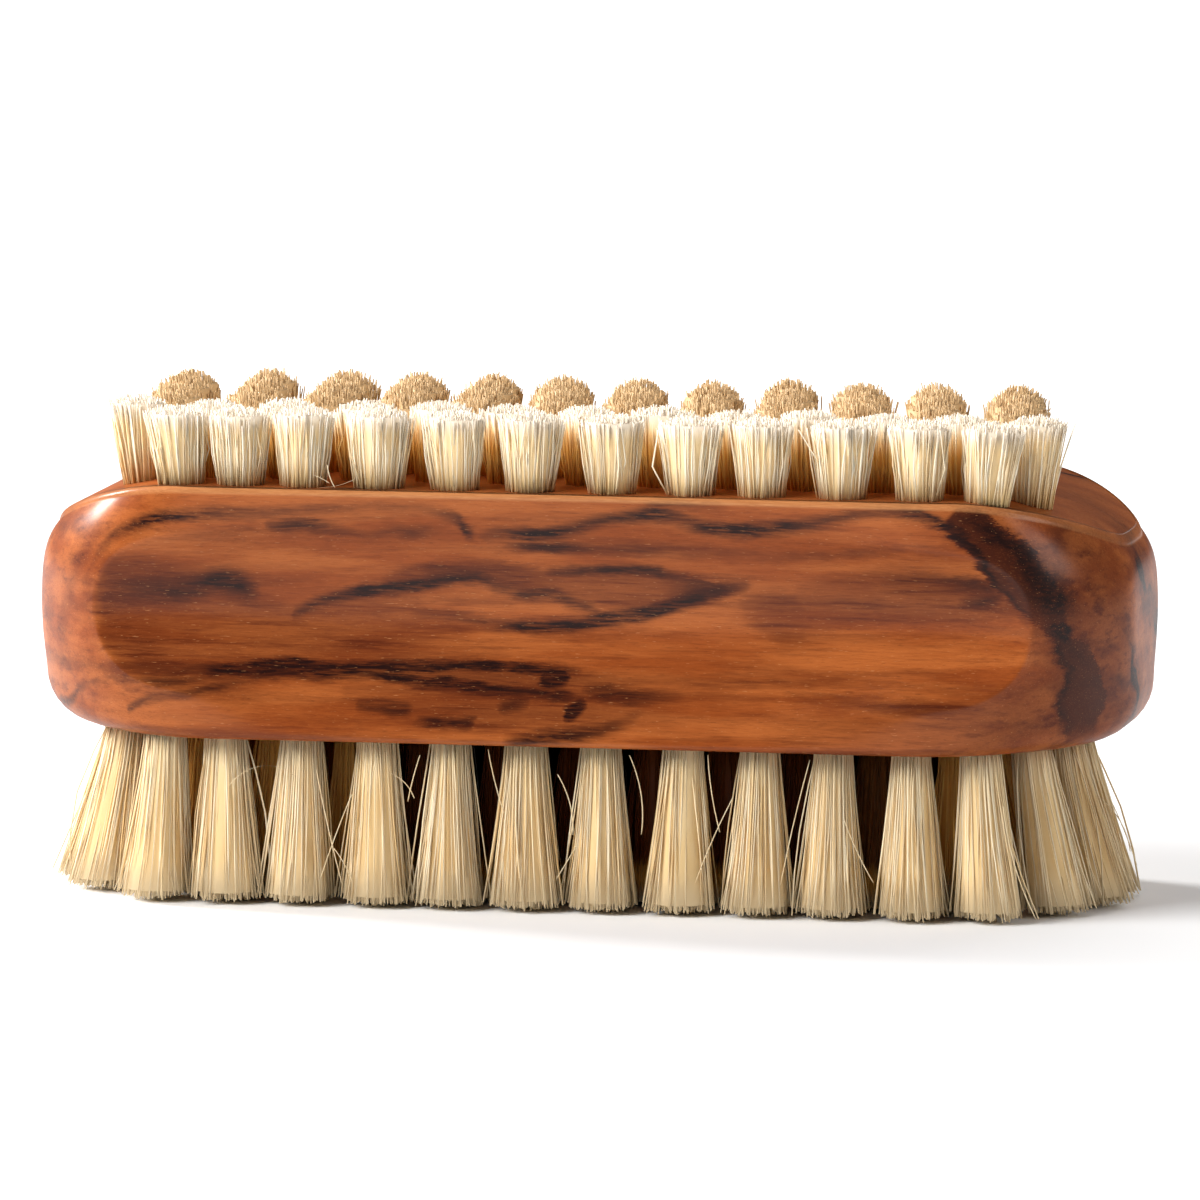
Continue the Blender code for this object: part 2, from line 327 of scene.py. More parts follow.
STREAKS = (
    Streak("upper_left", 0.36, (
        (-43.7, 2.87, 0.14, 0), (-42.9, 4.13, 0.14, 0.35), (-41.7, 5.74, 0.18, 0.5), (-40.2, 7.11, 0.18, 0.6),
        (-38.2, 7.94, 0.16, 0.75), (-36.3, 8.44, 0.16, 0.85), (-33.9, 8.7, 0.14, 0.75),
        (-30, 9.02, 0.14, 0.6), (-25.3, 9.29, 0.14, 0.5), (-17.1, 9.88, 0.14, 0.4), (-12.6, 9.84, 0.14, 0.4),
        (-10.9, 9.56, 0.18, 0.5), (-9.4, 8.68, 0.27, 0.6), (-8.8, 7.91, 0.27, 0.75), (-7.9, 7.54, 0.18, 0.3),
        (-6.4, 7.44, 0.18, 0),
    )),
    Streak("upper_right", 0.36, (
        (-7.6, 7.38, 0.14, 0), (-5.3, 7.64, 0.18, 0.6), (-1.1, 7.72, 0.2, 0.8), (1.2, 8.28, 0.18, 0.7),
        (3.9, 9.07, 0.18, 0.7), (6.7, 9.57, 0.23, 0.75), (8.7, 9.81, 0.27, 0.8), (10.9, 9.35, 0.18, 0.6),
        (12.3, 8.8, 0.18, 0.7), (15.3, 8.45, 0.27, 0.85), (18.8, 8.72, 0.23, 0.8), (21.8, 9.09, 0.18, 0.7),
        (25.6, 9.94, 0.18, 0.6), (28.4, 10.55, 0.18, 0.55), (31.7, 10.57, 0.18, 0.7), (33, 10.29, 0.18, 0.9),
        (34.5, 9.44, 0.18, 0.95), (36.7, 7.93, 0.23, 0.95), (38.2, 6, 0.18, 0.85), (38.8, 4.74, 0.18, 0.8),
        (39.5, 3.95, 0.18, 0.5), (40.4, 3.51, 0.18, 0),
    )),
    Streak("rim_smudge", 0.36, (
        (7.4, 10.42, 0.18, 0), (9.6, 10.73, 0.27, 0.6), (11.9, 10.79, 0.23, 0.5), (15.4, 10.5, 0.18, 0),
    )),
    Streak("second_left", 0.32, (
        (-26.9, 8.35, 0.14, 0), (-25.7, 8.04, 0.2, 0.6), (-23, 8.15, 0.18, 0.7), (-21.5, 7.89, 0.18, 0.6),
        (-20.1, 7.55, 0.18, 0.45), (-17.8, 7.14, 0.14, 0.4), (-15.5, 7.59, 0.14, 0.5),
        (-13.7, 7.54, 0.18, 0.55), (-12, 7.66, 0.14, 0.4), (-10.1, 7.92, 0.14, 0),
    )),
    Streak("second_right", 0.27, (
        (-5.6, 6.81, 0.14, 0), (-4.2, 6.52, 0.14, 0.5), (-2, 6.43, 0.16, 0.7), (0.9, 6.49, 0.14, 0.65),
        (3.7, 6.34, 0.11, 0.4), (6.4, 6.53, 0.14, 0.45), (10.9, 6.15, 0.18, 0.25), (18.7, 6.09, 0.18, 0.3),
        (23.9, 6.33, 0.11, 0.4), (28.2, 6.77, 0.11, 0.35), (31.2, 7.03, 0.11, 0),
    )),
    Streak("left_smoke", 0.63, (
        (-42.1, 1.96, 0.14, 0), (-40.8, 1.84, 0.14, 0.3), (-38.4, 1.8, 0.14, 0.5), (-35.3, 1.72, 0.18, 0.7),
        (-33, 2.24, 0.27, 0.75), (-31.5, 2.71, 0.32, 0.8), (-30.1, 2.61, 0.36, 0.8), (-28.6, 2.07, 0.36, 0.6),
        (-27.5, 1.73, 0.27, 0),
    )),
    Streak("eye_inner", 0.32, (
        (-25, -0.39, 0.14, 0), (-24.3, 0.07, 0.14, 0.5), (-22.4, 0.92, 0.16, 0.7), (-20.7, 1.44, 0.16, 0.7),
        (-19.2, 1.84, 0.18, 0.8), (-17.8, 2.18, 0.23, 0.95), (-15.8, 2.36, 0.23, 0.95),
        (-12.7, 2.73, 0.23, 0.8), (-10.9, 3.18, 0.23, 0.75), (-7.9, 3.38, 0.23, 0.7), (-5.8, 2.69, 0.18, 0.6),
        (-3.7, 2.22, 0.18, 0.7), (-1.7, 2.11, 0.18, 0.65), (0, 1.54, 0.18, 0.65), (2, 0.8, 0.16, 0.6),
        (3.3, 0.29, 0.14, 0.5), (4.2, 0.16, 0.09, 0),
    )),
    Streak("eye_outer", 0.32, (
        (-14.1, 0.24, 0.18, 0), (-12.7, 0.1, 0.18, 0.3), (-9.4, -0.3, 0.18, 0.45), (-5.6, -0.66, 0.2, 0.65),
        (-2.3, -0.72, 0.22, 0.85), (0.9, -0.55, 0.22, 0.9), (3.3, -0.06, 0.22, 0.95), (6.4, 0.46, 0.22, 0.95),
        (9.4, 1.24, 0.23, 0.9), (12, 2.05, 0.23, 0.75), (14, 2.63, 0.23, 0.6), (15.9, 3.16, 0.18, 0.4),
        (16.8, 3.34, 0.18, 0),
    )),
    Streak("eye_top", 0.27, (
        (-1.7, 4.02, 0.14, 0), (-0.7, 4.13, 0.14, 0.5), (2.4, 4.36, 0.16, 0.7), (4.8, 4.39, 0.18, 0.75),
        (7.9, 4.42, 0.18, 0.7), (9.4, 4.18, 0.18, 0.5), (11.4, 4.02, 0.18, 0),
    )),
    Streak("eye_zone", 0.54, (
        (-16.7, 2.9, 0.27, 0), (-15.1, 3.29, 0.54, 0.5), (-13.2, 3.71, 0.81, 0.65), (-10.6, 3.96, 0.81, 0.75),
        (-7.9, 4.11, 0.72, 0.7), (-4.8, 3.85, 0.9, 0.7), (-1.7, 3.43, 1.09, 0.6), (0.9, 3.16, 1.27, 0.5),
        (4.1, 2.69, 1.54, 0.5), (7.9, 2.78, 1.63, 0.55), (10.4, 2.84, 1.36, 0.75), (12.7, 2.88, 0.9, 0.85),
        (14.5, 2.95, 0.63, 0.7), (16.5, 3.18, 0.36, 0.4), (17.2, 3.19, 0.18, 0),
    ), Tint.SHADE),
    Streak("left_zone", 1.27, (
        (-42.4, 0.74, 0.9, 0), (-41.1, 0.31, 4.07, 0.55), (-37.8, -0.31, 4.52, 0.55),
        (-33.2, -0.78, 4.07, 0.5), (-28.6, -1.54, 3.44, 0.5), (-24.3, -2.33, 2.53, 0.55),
        (-19.5, -1.67, 3.17, 0.55), (-15.1, -1.39, 2.9, 0.45), (-11.3, -2.18, 2.26, 0.3),
        (-7.7, -3, 1.36, 0.15), (-4, -3.32, 0.9, 0),
    ), Tint.SHADE),
    Streak("wave_upper", 0.27, (
        (-38.1, -6.3, 0.09, 0), (-35.9, -5.88, 0.14, 0.4), (-33.2, -5.23, 0.14, 0.5),
        (-31.3, -5.3, 0.18, 0.8), (-29.3, -5.12, 0.2, 0.9), (-27.1, -4.83, 0.22, 1), (-24.9, -4.67, 0.24, 1),
        (-22.6, -4.89, 0.24, 1), (-20.5, -5.03, 0.2, 0.95), (-17.5, -4.9, 0.18, 0.9),
        (-14.8, -4.62, 0.18, 0.9), (-10.6, -4.46, 0.18, 0.85), (-7.9, -4.35, 0.16, 0.8),
        (-5.5, -4.45, 0.16, 0.85), (-2.2, -4.69, 0.18, 0.8), (0, -4.66, 0.18, 0.6), (2.1, -4.86, 0.14, 0),
    )),
    Streak("wave_lower", 0.27, (
        (-42.6, -6.38, 0.09, 0), (-40.2, -6.2, 0.09, 0.4), (-37.9, -6.16, 0.09, 0.5),
        (-36.4, -6.38, 0.12, 0.65), (-34.5, -6.25, 0.12, 0.6), (-31.5, -5.79, 0.11, 0.4),
        (-29.2, -5.89, 0.11, 0.45), (-27.1, -5.6, 0.14, 0.6), (-24.8, -5.48, 0.14, 0.7),
        (-22.5, -5.71, 0.14, 0.6), (-19.2, -5.47, 0.14, 0.6), (-16.8, -5.43, 0.16, 0.75),
        (-15.1, -5.61, 0.18, 0.85), (-12.3, -5.88, 0.18, 0.85), (-10, -6.08, 0.18, 0.9),
        (-7.9, -6.24, 0.18, 0.85), (-5.4, -6.39, 0.18, 0.75), (-2.8, -6.62, 0.18, 0.7),
        (-0.5, -6.79, 0.2, 0.8), (1.2, -6.84, 0.18, 0.4), (2.5, -6.8, 0.18, 0),
    )),
    Streak("wave_branch", 0.27, (
        (-39.8, -9.14, 0.14, 0), (-39.2, -8.79, 0.16, 0.6), (-38.2, -8.17, 0.14, 0.6),
        (-36.3, -7.59, 0.14, 0.6), (-34.3, -7.24, 0.14, 0.6), (-31.8, -6.91, 0.12, 0.6),
        (-30.2, -6.46, 0.12, 0.5), (-28.1, -6.03, 0.11, 0.4), (-26.1, -5.77, 0.09, 0),
    )),
    Streak("wave_tail", 0.36, (
        (1.7, -6.05, 0.14, 0), (3.3, -6.38, 0.23, 0.55), (5.2, -6.63, 0.27, 0.65), (6.8, -6.78, 0.27, 0.6),
        (8.8, -6.75, 0.23, 0.4), (11.6, -6.67, 0.18, 0),
    )),
    Streak("knot_upper", 0.36, (
        (-2.4, -5.29, 0.18, 0), (-1.7, -5.3, 0.32, 0.95), (-1, -5.32, 0.41, 1), (-0.2, -5.25, 0.32, 0.95),
        (0.6, -5.17, 0.14, 0),
    )),
    Streak("knot_lower", 0.32, (
        (0, -8.34, 0.14, 0), (0.6, -8.29, 0.27, 0.9), (1.1, -8.12, 0.36, 1), (1.7, -7.79, 0.27, 0.8),
        (2.3, -7.62, 0.14, 0),
    )),
    Streak("low_dash_1", 0.27, (
        (-13.4, -9.34, 0.11, 0), (-12.3, -9.37, 0.14, 0.6), (-10.9, -9.44, 0.16, 0.75),
        (-8.5, -9.36, 0.14, 0.7), (-7.5, -9.21, 0.11, 0),
    )),
    Streak("low_dash_2", 0.32, (
        (-18.7, -7.85, 0.11, 0), (-17.8, -8.02, 0.14, 0.55), (-16.1, -8.18, 0.16, 0.6),
        (-14.4, -8.37, 0.18, 0.65), (-13.5, -8.45, 0.11, 0),
    )),
    Streak("low_dash_3", 0.36, (
        (-5.7, -8.06, 0.11, 0), (-4.8, -7.77, 0.23, 0.6), (-3.7, -7.6, 0.18, 0.5), (-2.8, -7.57, 0.11, 0),
    )),
    Streak("base_line", 0.36, (
        (-5.2, -10.93, 0.14, 0), (-3.5, -10.75, 0.18, 0.7), (-1.7, -10.47, 0.22, 0.8),
        (0.6, -10.27, 0.22, 0.75), (2.5, -9.94, 0.22, 0.7), (4.3, -9.48, 0.24, 0.6), (5.9, -8.86, 0.25, 0.45),
        (7.2, -8.05, 0.27, 0.3), (7.9, -7.55, 0.27, 0),
    )),
    Streak("wave_zone", 1.09, (
        (-20.2, -6.78, 0.72, 0), (-16.5, -6.88, 1.63, 0.35), (-10.9, -6.99, 2.26, 0.5),
        (-5.6, -7.01, 2.35, 0.55), (0, -6.92, 2.17, 0.5), (4.3, -7.2, 1.63, 0.4), (8.9, -7.34, 1.09, 0.2),
        (11.7, -7.36, 0.72, 0),
    ), Tint.SHADE),
    Streak("left_low_hook", 0.32, (
        (-48, -11, 0.18, 0), (-47.8, -10.5, 0.23, 0.7), (-46.8, -9.34, 0.18, 0.65), (-47.8, -9.42, 0.16, 0.6),
        (-44.5, -7.47, 0.14, 0.5), (-42.9, -6.82, 0.11, 0.35), (-41.8, -6.62, 0.09, 0),
    )),
    Streak("groove_right_zone", 0.9, (
        (18.5, 1.22, 0.45, 0), (21.2, 1.65, 1.63, 0.35), (25.8, 2.31, 2.17, 0.45), (30.4, 2.9, 2.17, 0.5),
        (34.9, 2.76, 1.99, 0.5), (38.4, 2.48, 1.63, 0.45), (40.7, 2.24, 1.09, 0.35), (41.7, 2.07, 0.72, 0),
    ), Tint.SHADE),
    Streak("groove_right_line_1", 0.27, (
        (28.6, 3.93, 0.11, 0), (30.9, 4.32, 0.14, 0.3), (34.1, 4.38, 0.14, 0.4), (36.3, 4.22, 0.16, 0.5),
        (38.1, 3.79, 0.18, 0.6), (39, 3.61, 0.14, 0.3), (39.9, 3.48, 0.09, 0),
    )),
    Streak("groove_right_line_2", 0.32, (
        (35.7, 2.18, 0.11, 0), (37.1, 2.25, 0.16, 0.6), (38, 2.39, 0.18, 0.65), (39.2, 2.7, 0.14, 0.4),
        (40.1, 3.11, 0.09, 0),
    )),
    Streak("low_right_line", 0.45, (
        (19.7, -6.04, 0.14, 0), (22.5, -6.4, 0.18, 0.35), (26.1, -6.66, 0.18, 0.4), (29.8, -6.72, 0.18, 0.4),
        (33.5, -6.65, 0.18, 0.35), (36.1, -6.61, 0.18, 0.2), (37.9, -6.39, 0.18, 0),
    )),
    Streak("low_right_zone", 1.09, (
        (18.2, -9.67, 0.9, 0), (23.6, -9.26, 1.99, 0.25), (30.9, -8.83, 1.99, 0.3), (36.2, -8.56, 2.17, 0.35),
        (40.4, -8.09, 2.17, 0.4), (43.6, -7.7, 1.63, 0.4), (45.2, -7.6, 0.9, 0),
    ), Tint.SHADE),
    Streak("mid_right_zone", 1.09, (
        (15.4, 2.03, 0.54, 0), (17.8, 1.19, 1.45, 0.45), (19.9, 0.54, 2.17, 0.5), (22.2, 0.21, 1.81, 0.35),
        (25.7, 0.04, 0.9, 0),
    ), Tint.SHADE),
    Streak("left_edge_line", 0.27, (
        (-4.1, -51.2, 0.14, 0), (-1.5, -51.24, 0.14, 0.5), (0.5, -51.14, 0.14, 0.6),
        (1.5, -51.01, 0.14, 0.65), (2.9, -50.55, 0.14, 0.6), (4.2, -49.82, 0.11, 0),
    ), Tint.LINE, Course.UPRIGHT),
    Streak("left_shade", 0.81, (
        (-5.9, -46.81, 0.27, 0), (-3.4, -46.43, 0.36, 0.3), (-0.1, -45.9, 0.36, 0.45),
        (2.2, -45.19, 0.36, 0.45), (3.9, -44.3, 0.36, 0.4), (5.1, -43.45, 0.27, 0),
    ), Tint.SHADE, Course.UPRIGHT),
    Streak("right_zone", 0.36, (
        (-11.7, 45.06, 0.9, 0), (-10.3, 45.55, 1.09, 0.7), (-8.7, 46, 1.27, 0.8), (-7.2, 45.97, 1.72, 0.85),
        (-6.1, 46.17, 1.63, 0.85), (-4.4, 46.24, 1.27, 0.85), (-2.1, 45.65, 1.36, 0.85),
        (-0.6, 44.88, 1.09, 0.8), (0.6, 43.96, 1.27, 0.75), (1.7, 43.06, 1.9, 0.8), (2.9, 42.47, 2.17, 0.85),
        (4.1, 41.39, 2.62, 0.9), (5.6, 40.53, 2.81, 0.9), (7.2, 39.54, 2.71, 0.9), (8.4, 37.99, 2.81, 0.85),
        (9.4, 37.02, 2.26, 0.85), (10.5, 36.75, 1.27, 0.8), (11.2, 36.88, 0.72, 0),
    ), Tint.SHADE, Course.UPRIGHT),
    Streak("right_core", 0.81, (
        (0.1, 44.74, 0.27, 0), (1.3, 44.46, 0.36, 0.6), (2.7, 43.92, 0.45, 0.85), (4.5, 42.97, 0.45, 0.9),
        (6, 42.08, 0.45, 0.85), (7.4, 40.87, 0.45, 0.85), (8.4, 39.4, 0.45, 0.8), (9.6, 37.83, 0.36, 0.7),
        (10.7, 36.38, 0.27, 0),
    ), Tint.LINE, Course.UPRIGHT),
    Streak("right_border", 0.27, (
        (0.4, 42.09, 0.13, 0), (1.2, 41.68, 0.14, 0.5), (2.2, 41.05, 0.16, 0.6), (3.3, 40.27, 0.16, 0.65),
        (4.1, 39.01, 0.16, 0.6), (5.1, 38.42, 0.14, 0),
    ), Tint.LINE, Course.UPRIGHT),
    Streak("right_knot", 0.36, (
        (-3.9, 46.47, 0.18, 0), (-2.7, 45.98, 0.18, 0.4), (-1.7, 45.31, 0.18, 0.5), (-1, 45.02, 0.27, 0.7),
        (-0.4, 44.74, 0.45, 1), (0.3, 44.63, 0.45, 0.95), (0.9, 44.47, 0.14, 0),
    ), Tint.LINE, Course.UPRIGHT),
    Streak("right_low_border", 0.27, (
        (-10.2, 44.57, 0.18, 0), (-8.9, 44.79, 0.18, 0.5), (-8.2, 44.57, 0.18, 0.6), (-7.2, 44.41, 0.18, 0.6),
        (-6, 44.67, 0.18, 0.6), (-5.3, 44.91, 0.2, 0.65), (-4.4, 45.15, 0.2, 0.65), (-3.1, 44.87, 0.18, 0.6),
        (-2.1, 44.38, 0.18, 0.65), (-1.1, 44.26, 0.18, 0.6), (-0.1, 44.12, 0.18, 0),
    ), Tint.LINE, Course.UPRIGHT),
    Streak("right_end_zone", 1.45, (
        (-12.8, 46.2, 0.9, 0), (-11.4, 46.41, 2.71, 0.3), (-7.7, 47.42, 3.8, 0.45), (-3.1, 47.79, 3.98, 0.5),
        (1.4, 47.52, 3.98, 0.5), (4.9, 47.1, 3.8, 0.45), (7.9, 46.43, 2.71, 0.4), (9.7, 45.77, 0.9, 0),
    ), Tint.SHADE, Course.UPRIGHT),
)


@dataclass(frozen=True)
class WoodFinish:
    """Oiled reddish hardwood: drawn dark figure on the front, layered figure on the rest, and fine grain.

    Waves are laid out in millimetres. A ramp turns a noise, or the way the surface faces, into a share. The
    upper faces are painted lighter, as if lit from above, and the upper rim gets a painted highlight.
    """

    light: Color = (0.40, 0.108, 0.024, 1)
    middle: Color = (0.26, 0.056, 0.010, 1)
    shade: Color = (0.085, 0.015, 0.004, 1)
    line: Color = (0.014, 0.004, 0.003, 1)
    # Light flecks of the grain, also used for the painted highlight along the upper rim.
    fleck_and_rim_highlight: Color = (0.55, 0.24, 0.09, 1)
    half_length: float = 50.0
    half_height: float = 12.0
    middle_height: float = 26.4
    halo: dict[Tint, float] = field(default_factory=lambda: {Tint.LINE: 3.2, Tint.SHADE: 1.3})
    streaks: tuple[Streak, ...] = STREAKS
    front: Ramp = Ramp(-0.12, -0.45)
    # Painted light: faces that turn upwards are mixed towards the light colour, as if lit from above.
    upper: Ramp = Ramp(0.75, 0.95, 0.0, 0.55)
    drift: Waves = Waves((0.24, 0.5, 0.9), 4.0, 0.6)
    feather: Waves = Waves((0.7, 4.0, 7.0), 3.0, 0.65)
    x_bends: tuple[float, float] = (1.6, 0.5)
    z_bends: tuple[float, float] = (1.1, 0.75)
    layer_wave: Waves = Waves((0.03, 0.07, 0.07), 3.0)
    layer_fade: Waves = Waves((0.05, 0.16, 0.16), 2.0)
    layer_leans: tuple[float, float] = (0.42, 0.30)
    layer_swing: float = 11.0
    layer_shade: float = 0.55
    layer_ramps: tuple[Ramp, Ramp, Ramp] = (Ramp(0.35, 0.65), Ramp(0.90, 1.0), Ramp(-0.1, 1.0))
    broken: Waves = Waves((0.35, 2.2, 3.6), 3.0, 0.6)
    broken_ramp: Ramp = Ramp(0.32, 0.58, 0.45, 1.0)
    line_boost: float = 1.3
    line_power: float = 1.7
    line_shade: float = 0.42
    most_shade: float = 0.95
    mottles: tuple[tuple[Waves, Ramp], ...] = (
        (Waves((0.030, 0.30, 0.50), 5.0, 0.6), Ramp(0.47, 0.66, 0.0, 0.42)),
        (Waves((0.10, 1.1, 1.9), 4.0, 0.6), Ramp(0.50, 0.72, 0.0, 0.34)),
    )
    grain: Waves = Waves((0.55, 6.5, 10.0), 5.0, 0.75)
    pores: Waves = Waves((1.3, 8.0, 11.0), 2.0, 0.5)
    glow: Waves = Waves((0.045, 0.22, 0.36), 4.0, 0.55)
    glow_ramp: Ramp = Ramp(0.38, 0.62)
    deep_ramp: Ramp = Ramp(0.62, 0.90, 0.0, 0.55)
    grain_ramps: tuple[Ramp, Ramp] = (Ramp(0.46, 0.72, 0.0, 0.42), Ramp(0.50, 0.30, 0.0, 0.20))
    pore_ramps: tuple[Ramp, Ramp] = (Ramp(0.64, 0.78, 0.0, 0.35), Ramp(0.34, 0.24, 0.0, 0.45))
    # Painted highlight along the upper rim: how the grain breaks it up.
    rim_highlight_ramp: Ramp = Ramp(0.3, 0.6, 0.9, 0.5)
    pore_depth: float = -0.6
    bump_strength: float = 0.22
    bump_distance: float = 0.00006
    roughness: Ramp = Ramp(0.3, 0.7, 0.48, 0.58)
    specular: float = 0.05
    coat: float = 0.32
    coat_roughness: float = 0.24

    def streak_mask(self, graph: NodeGraph, streak: Streak, x: Socket, z: Socket) -> Socket:
        """Return how strongly a streak colours the wood.

        The mask is the streak's strength, times an S curve that falls from 1 just inside its half width to 0
        at its softness times its tint's halo outside. Centre, half width and strength are looked up by the
        place along the streak.

        Args:
            graph: The material's nodes.
            streak: The streak.
            x: Place along the body, in millimetres.
            z: Place up the body, in millimetres.

        Returns:
            The mask, from 0 to 1.
        """
        along, across, reach, span = x, z, self.half_length, self.half_height
        if streak.course is Course.UPRIGHT:
            along, across, reach, span = z, x, self.half_height, self.half_length
        places = sorted(streak.points)
        curves = (
            [(a / reach, c / span) for a, c, _, _ in places],
            [(a / reach, h / span) for a, _, h, _ in places],
            [(a / reach, s) for a, _, _, s in places],
        )
        centre, half, strength = graph.curves(graph.math("DIVIDE", along, reach), curves)
        offset = graph.math("ABSOLUTE", graph.math("MULTIPLY_ADD", centre, -span, across))
        past = graph.math("MULTIPLY_ADD", half, -span, offset)
        reach_out = streak.softness * self.halo[streak.tint]
        side = graph.ramp(past, Ramp(-streak.softness / 2, reach_out, 1.0, 0.0))
        return graph.math("MULTIPLY", side, graph.math("MAXIMUM", strength, 0.0))

    def drawn_figure(self, graph: NodeGraph, x: Socket, z: Socket) -> dict[Tint, Socket]:
        """Return the strongest line and the strongest shade among the drawn streaks."""
        result: dict[Tint, Socket] = {}
        for streak in self.streaks:
            mask = self.streak_mask(graph, streak, x, z)
            before = result.get(streak.tint)
            result[streak.tint] = mask if before is None else graph.math("MAXIMUM", before, mask)
        return result

    def layered_figure(self, graph: NodeGraph, place: Socket) -> tuple[Socket, Socket]:
        """Return lines and shades from a sine of wavy growth layers that lean across the body."""
        _, y, z = graph.split(place)
        wave = graph.noise(place, self.layer_wave)
        across, upward = self.layer_leans
        layers = graph.math("MULTIPLY_ADD", y, across, graph.math("MULTIPLY", z, upward))
        swing = graph.math("SINE", graph.math("MULTIPLY_ADD", wave, self.layer_swing, layers))
        fade_ramp, line_ramp, shade_ramp = self.layer_ramps
        fade = graph.ramp(graph.noise(place, self.layer_fade), fade_ramp)
        line = graph.math("MULTIPLY", graph.ramp(swing, line_ramp), fade)
        return line, graph.math("MULTIPLY", graph.ramp(swing, shade_ramp), self.layer_shade)

    def figure(self, graph: NodeGraph, place: Socket, facing: Socket) -> tuple[Socket, Socket, Socket]:
        """Put the drawn figure on the front and the layered one on the rest, and break both up with noise.

        Args:
            graph: The material's nodes.
            place: Place in millimetres from the body's middle.
            facing: How far the surface faces back, from -1 at the front.

        Returns:
            The lines, the shade under them, and the zones of shade alone.
        """
        x, _, z = graph.split(place)
        front = graph.ramp(facing, self.front)
        drift, feather = (graph.centred(place, waves) for waves in (self.drift, self.feather))
        x_bent, z_bent = (
            graph.math("MULTIPLY_ADD", drift, wide, graph.math("MULTIPLY_ADD", feather, fine, value))
            for value, (wide, fine) in ((x, self.x_bends), (z, self.z_bends))
        )
        drawn = self.drawn_figure(graph, x_bent, z_bent)
        layered_line, layered_zones = self.layered_figure(graph, place)
        soft_line = graph.mix(front, layered_line, drawn[Tint.LINE])
        zones = graph.mix(front, layered_zones, drawn[Tint.SHADE])
        bold = graph.math("MINIMUM", graph.math("MULTIPLY", soft_line, self.line_boost), 1.0)
        broken = graph.ramp(graph.noise(place, self.broken), self.broken_ramp)
        line = graph.math("MULTIPLY", graph.math("POWER", bold, self.line_power), broken)
        shade = graph.math("MULTIPLY_ADD", soft_line, self.line_shade, zones)
        for waves, ramp in self.mottles:
            shade = graph.math("ADD", shade, graph.ramp(graph.noise(place, waves), ramp))
        return line, graph.math("MINIMUM", shade, self.most_shade), zones

    def build(self) -> bpy.types.Material:
        """Return the material, its colour laid on in steps from the ground to the painted highlight on the
        upper rim.
        """
        graph = NodeGraph("oiled_wood_finish")
        source = graph.add("TexCoord")
        place = graph.scaled(source.outputs["Object"], (1 / MM,) * 3, (0, 0, -self.middle_height))
        _, facing, rising = graph.split(source.outputs["Normal"])
        line, shade, zones = self.figure(graph, place, facing)
        grain, pores, glow = (graph.noise(place, waves) for waves in (self.grain, self.pores, self.glow))
        # Painted highlight: a lighter line along the upper rim, broken up by the grain.
        rim_highlight = graph.math("MULTIPLY", graph.attribute("painted_rim_highlight"), graph.ramp(grain, self.rim_highlight_ramp))
        color = graph.mix(graph.ramp(glow, self.glow_ramp), self.middle, self.light)
        for share, tint in (
            (shade, self.shade),
            (graph.ramp(zones, self.deep_ramp), self.line),
            # painted light on the upper faces
            (graph.ramp(rising, self.upper), self.light),
            (graph.ramp(grain, self.grain_ramps[0]), self.shade),
            (graph.ramp(grain, self.grain_ramps[1]), self.light),
            (line, self.line),
            (graph.ramp(pores, self.pore_ramps[0]), self.line),
            (graph.ramp(pores, self.pore_ramps[1]), self.fleck_and_rim_highlight),
            (rim_highlight, self.fleck_and_rim_highlight),
        ):
            color = graph.mix(share, color, tint)
        height = graph.math("MULTIPLY_ADD", pores, self.pore_depth, grain)
        graph.bump(height, self.bump_strength, self.bump_distance)
        return graph.finish(
            Base_Color=color, Roughness=graph.ramp(grain, self.roughness), Specular_IOR_Level=self.specular,
            Coat_Weight=self.coat, Coat_Roughness=self.coat_roughness,
        )


@dataclass(frozen=True)
class BristleFinish:
    """Stiff natural bristle. Each hair has its own tone, and is tinted towards a root colour near the wood
    and a tip colour at its cut end. In the upper finishes the golden root is painted shade, the pale tips of
    the front rows are painted light and the tan tips of the back rows are painted shade.

    A tuft's shade depth, painted shade among its neighbours, tints it towards glow, a painted golden shade,
    and then towards deep, a painted dark shade.
    """

    name: str
    straw: Color
    ivory: Color
    tip: Color
    root: Color
    # Painted shade: glow is the golden tint and deep the dark tint of tufts that stand among their
    # neighbours.
    glow: Color = (0.90, 0.60, 0.24, 1)
    deep: Color = (0.14, 0.045, 0.014, 1)
    mottle: Waves = Waves((900.0, 900.0, 260.0), 3.0)
    mottle_share: float = 0.8
    tone_ramp: Ramp = Ramp(0.0, 1.0)
    root_ramp: Ramp = Ramp(0.45, 0.0, 0.0, 0.75)
    tip_ramp: Ramp = Ramp(0.72, 1.0, 0.0, 0.85)
    shadow_ramps: tuple[Ramp, Ramp] = (Ramp(0.0, 0.5), Ramp(0.5, 1.0))
    roughness: float = 0.45
    specular: float = 0.12

    def build(self) -> bpy.types.Material:
        """Return the material."""
        graph = NodeGraph(self.name)
        along, shade_depth = graph.attribute("along"), graph.attribute("shade_depth")
        mottle = graph.centred(graph.add("TexCoord").outputs["Object"], self.mottle)
        tone = graph.math("MULTIPLY_ADD", mottle, self.mottle_share, graph.attribute("tone"))
        color = graph.mix(graph.ramp(tone, self.tone_ramp), self.straw, self.ivory)
        color = graph.mix(graph.ramp(along, self.root_ramp), color, self.root)
        color = graph.mix(graph.ramp(along, self.tip_ramp), color, self.tip)
        # Painted shade among the tufts: golden at half shade depth, dark at full.
        shadow = graph.mix(graph.ramp(shade_depth, self.shadow_ramps[1]), self.glow, self.deep)
        color = graph.mix(graph.ramp(shade_depth, self.shadow_ramps[0]), color, shadow, "MULTIPLY")
        return graph.finish(Base_Color=color, Roughness=self.roughness, Specular_IOR_Level=self.specular)


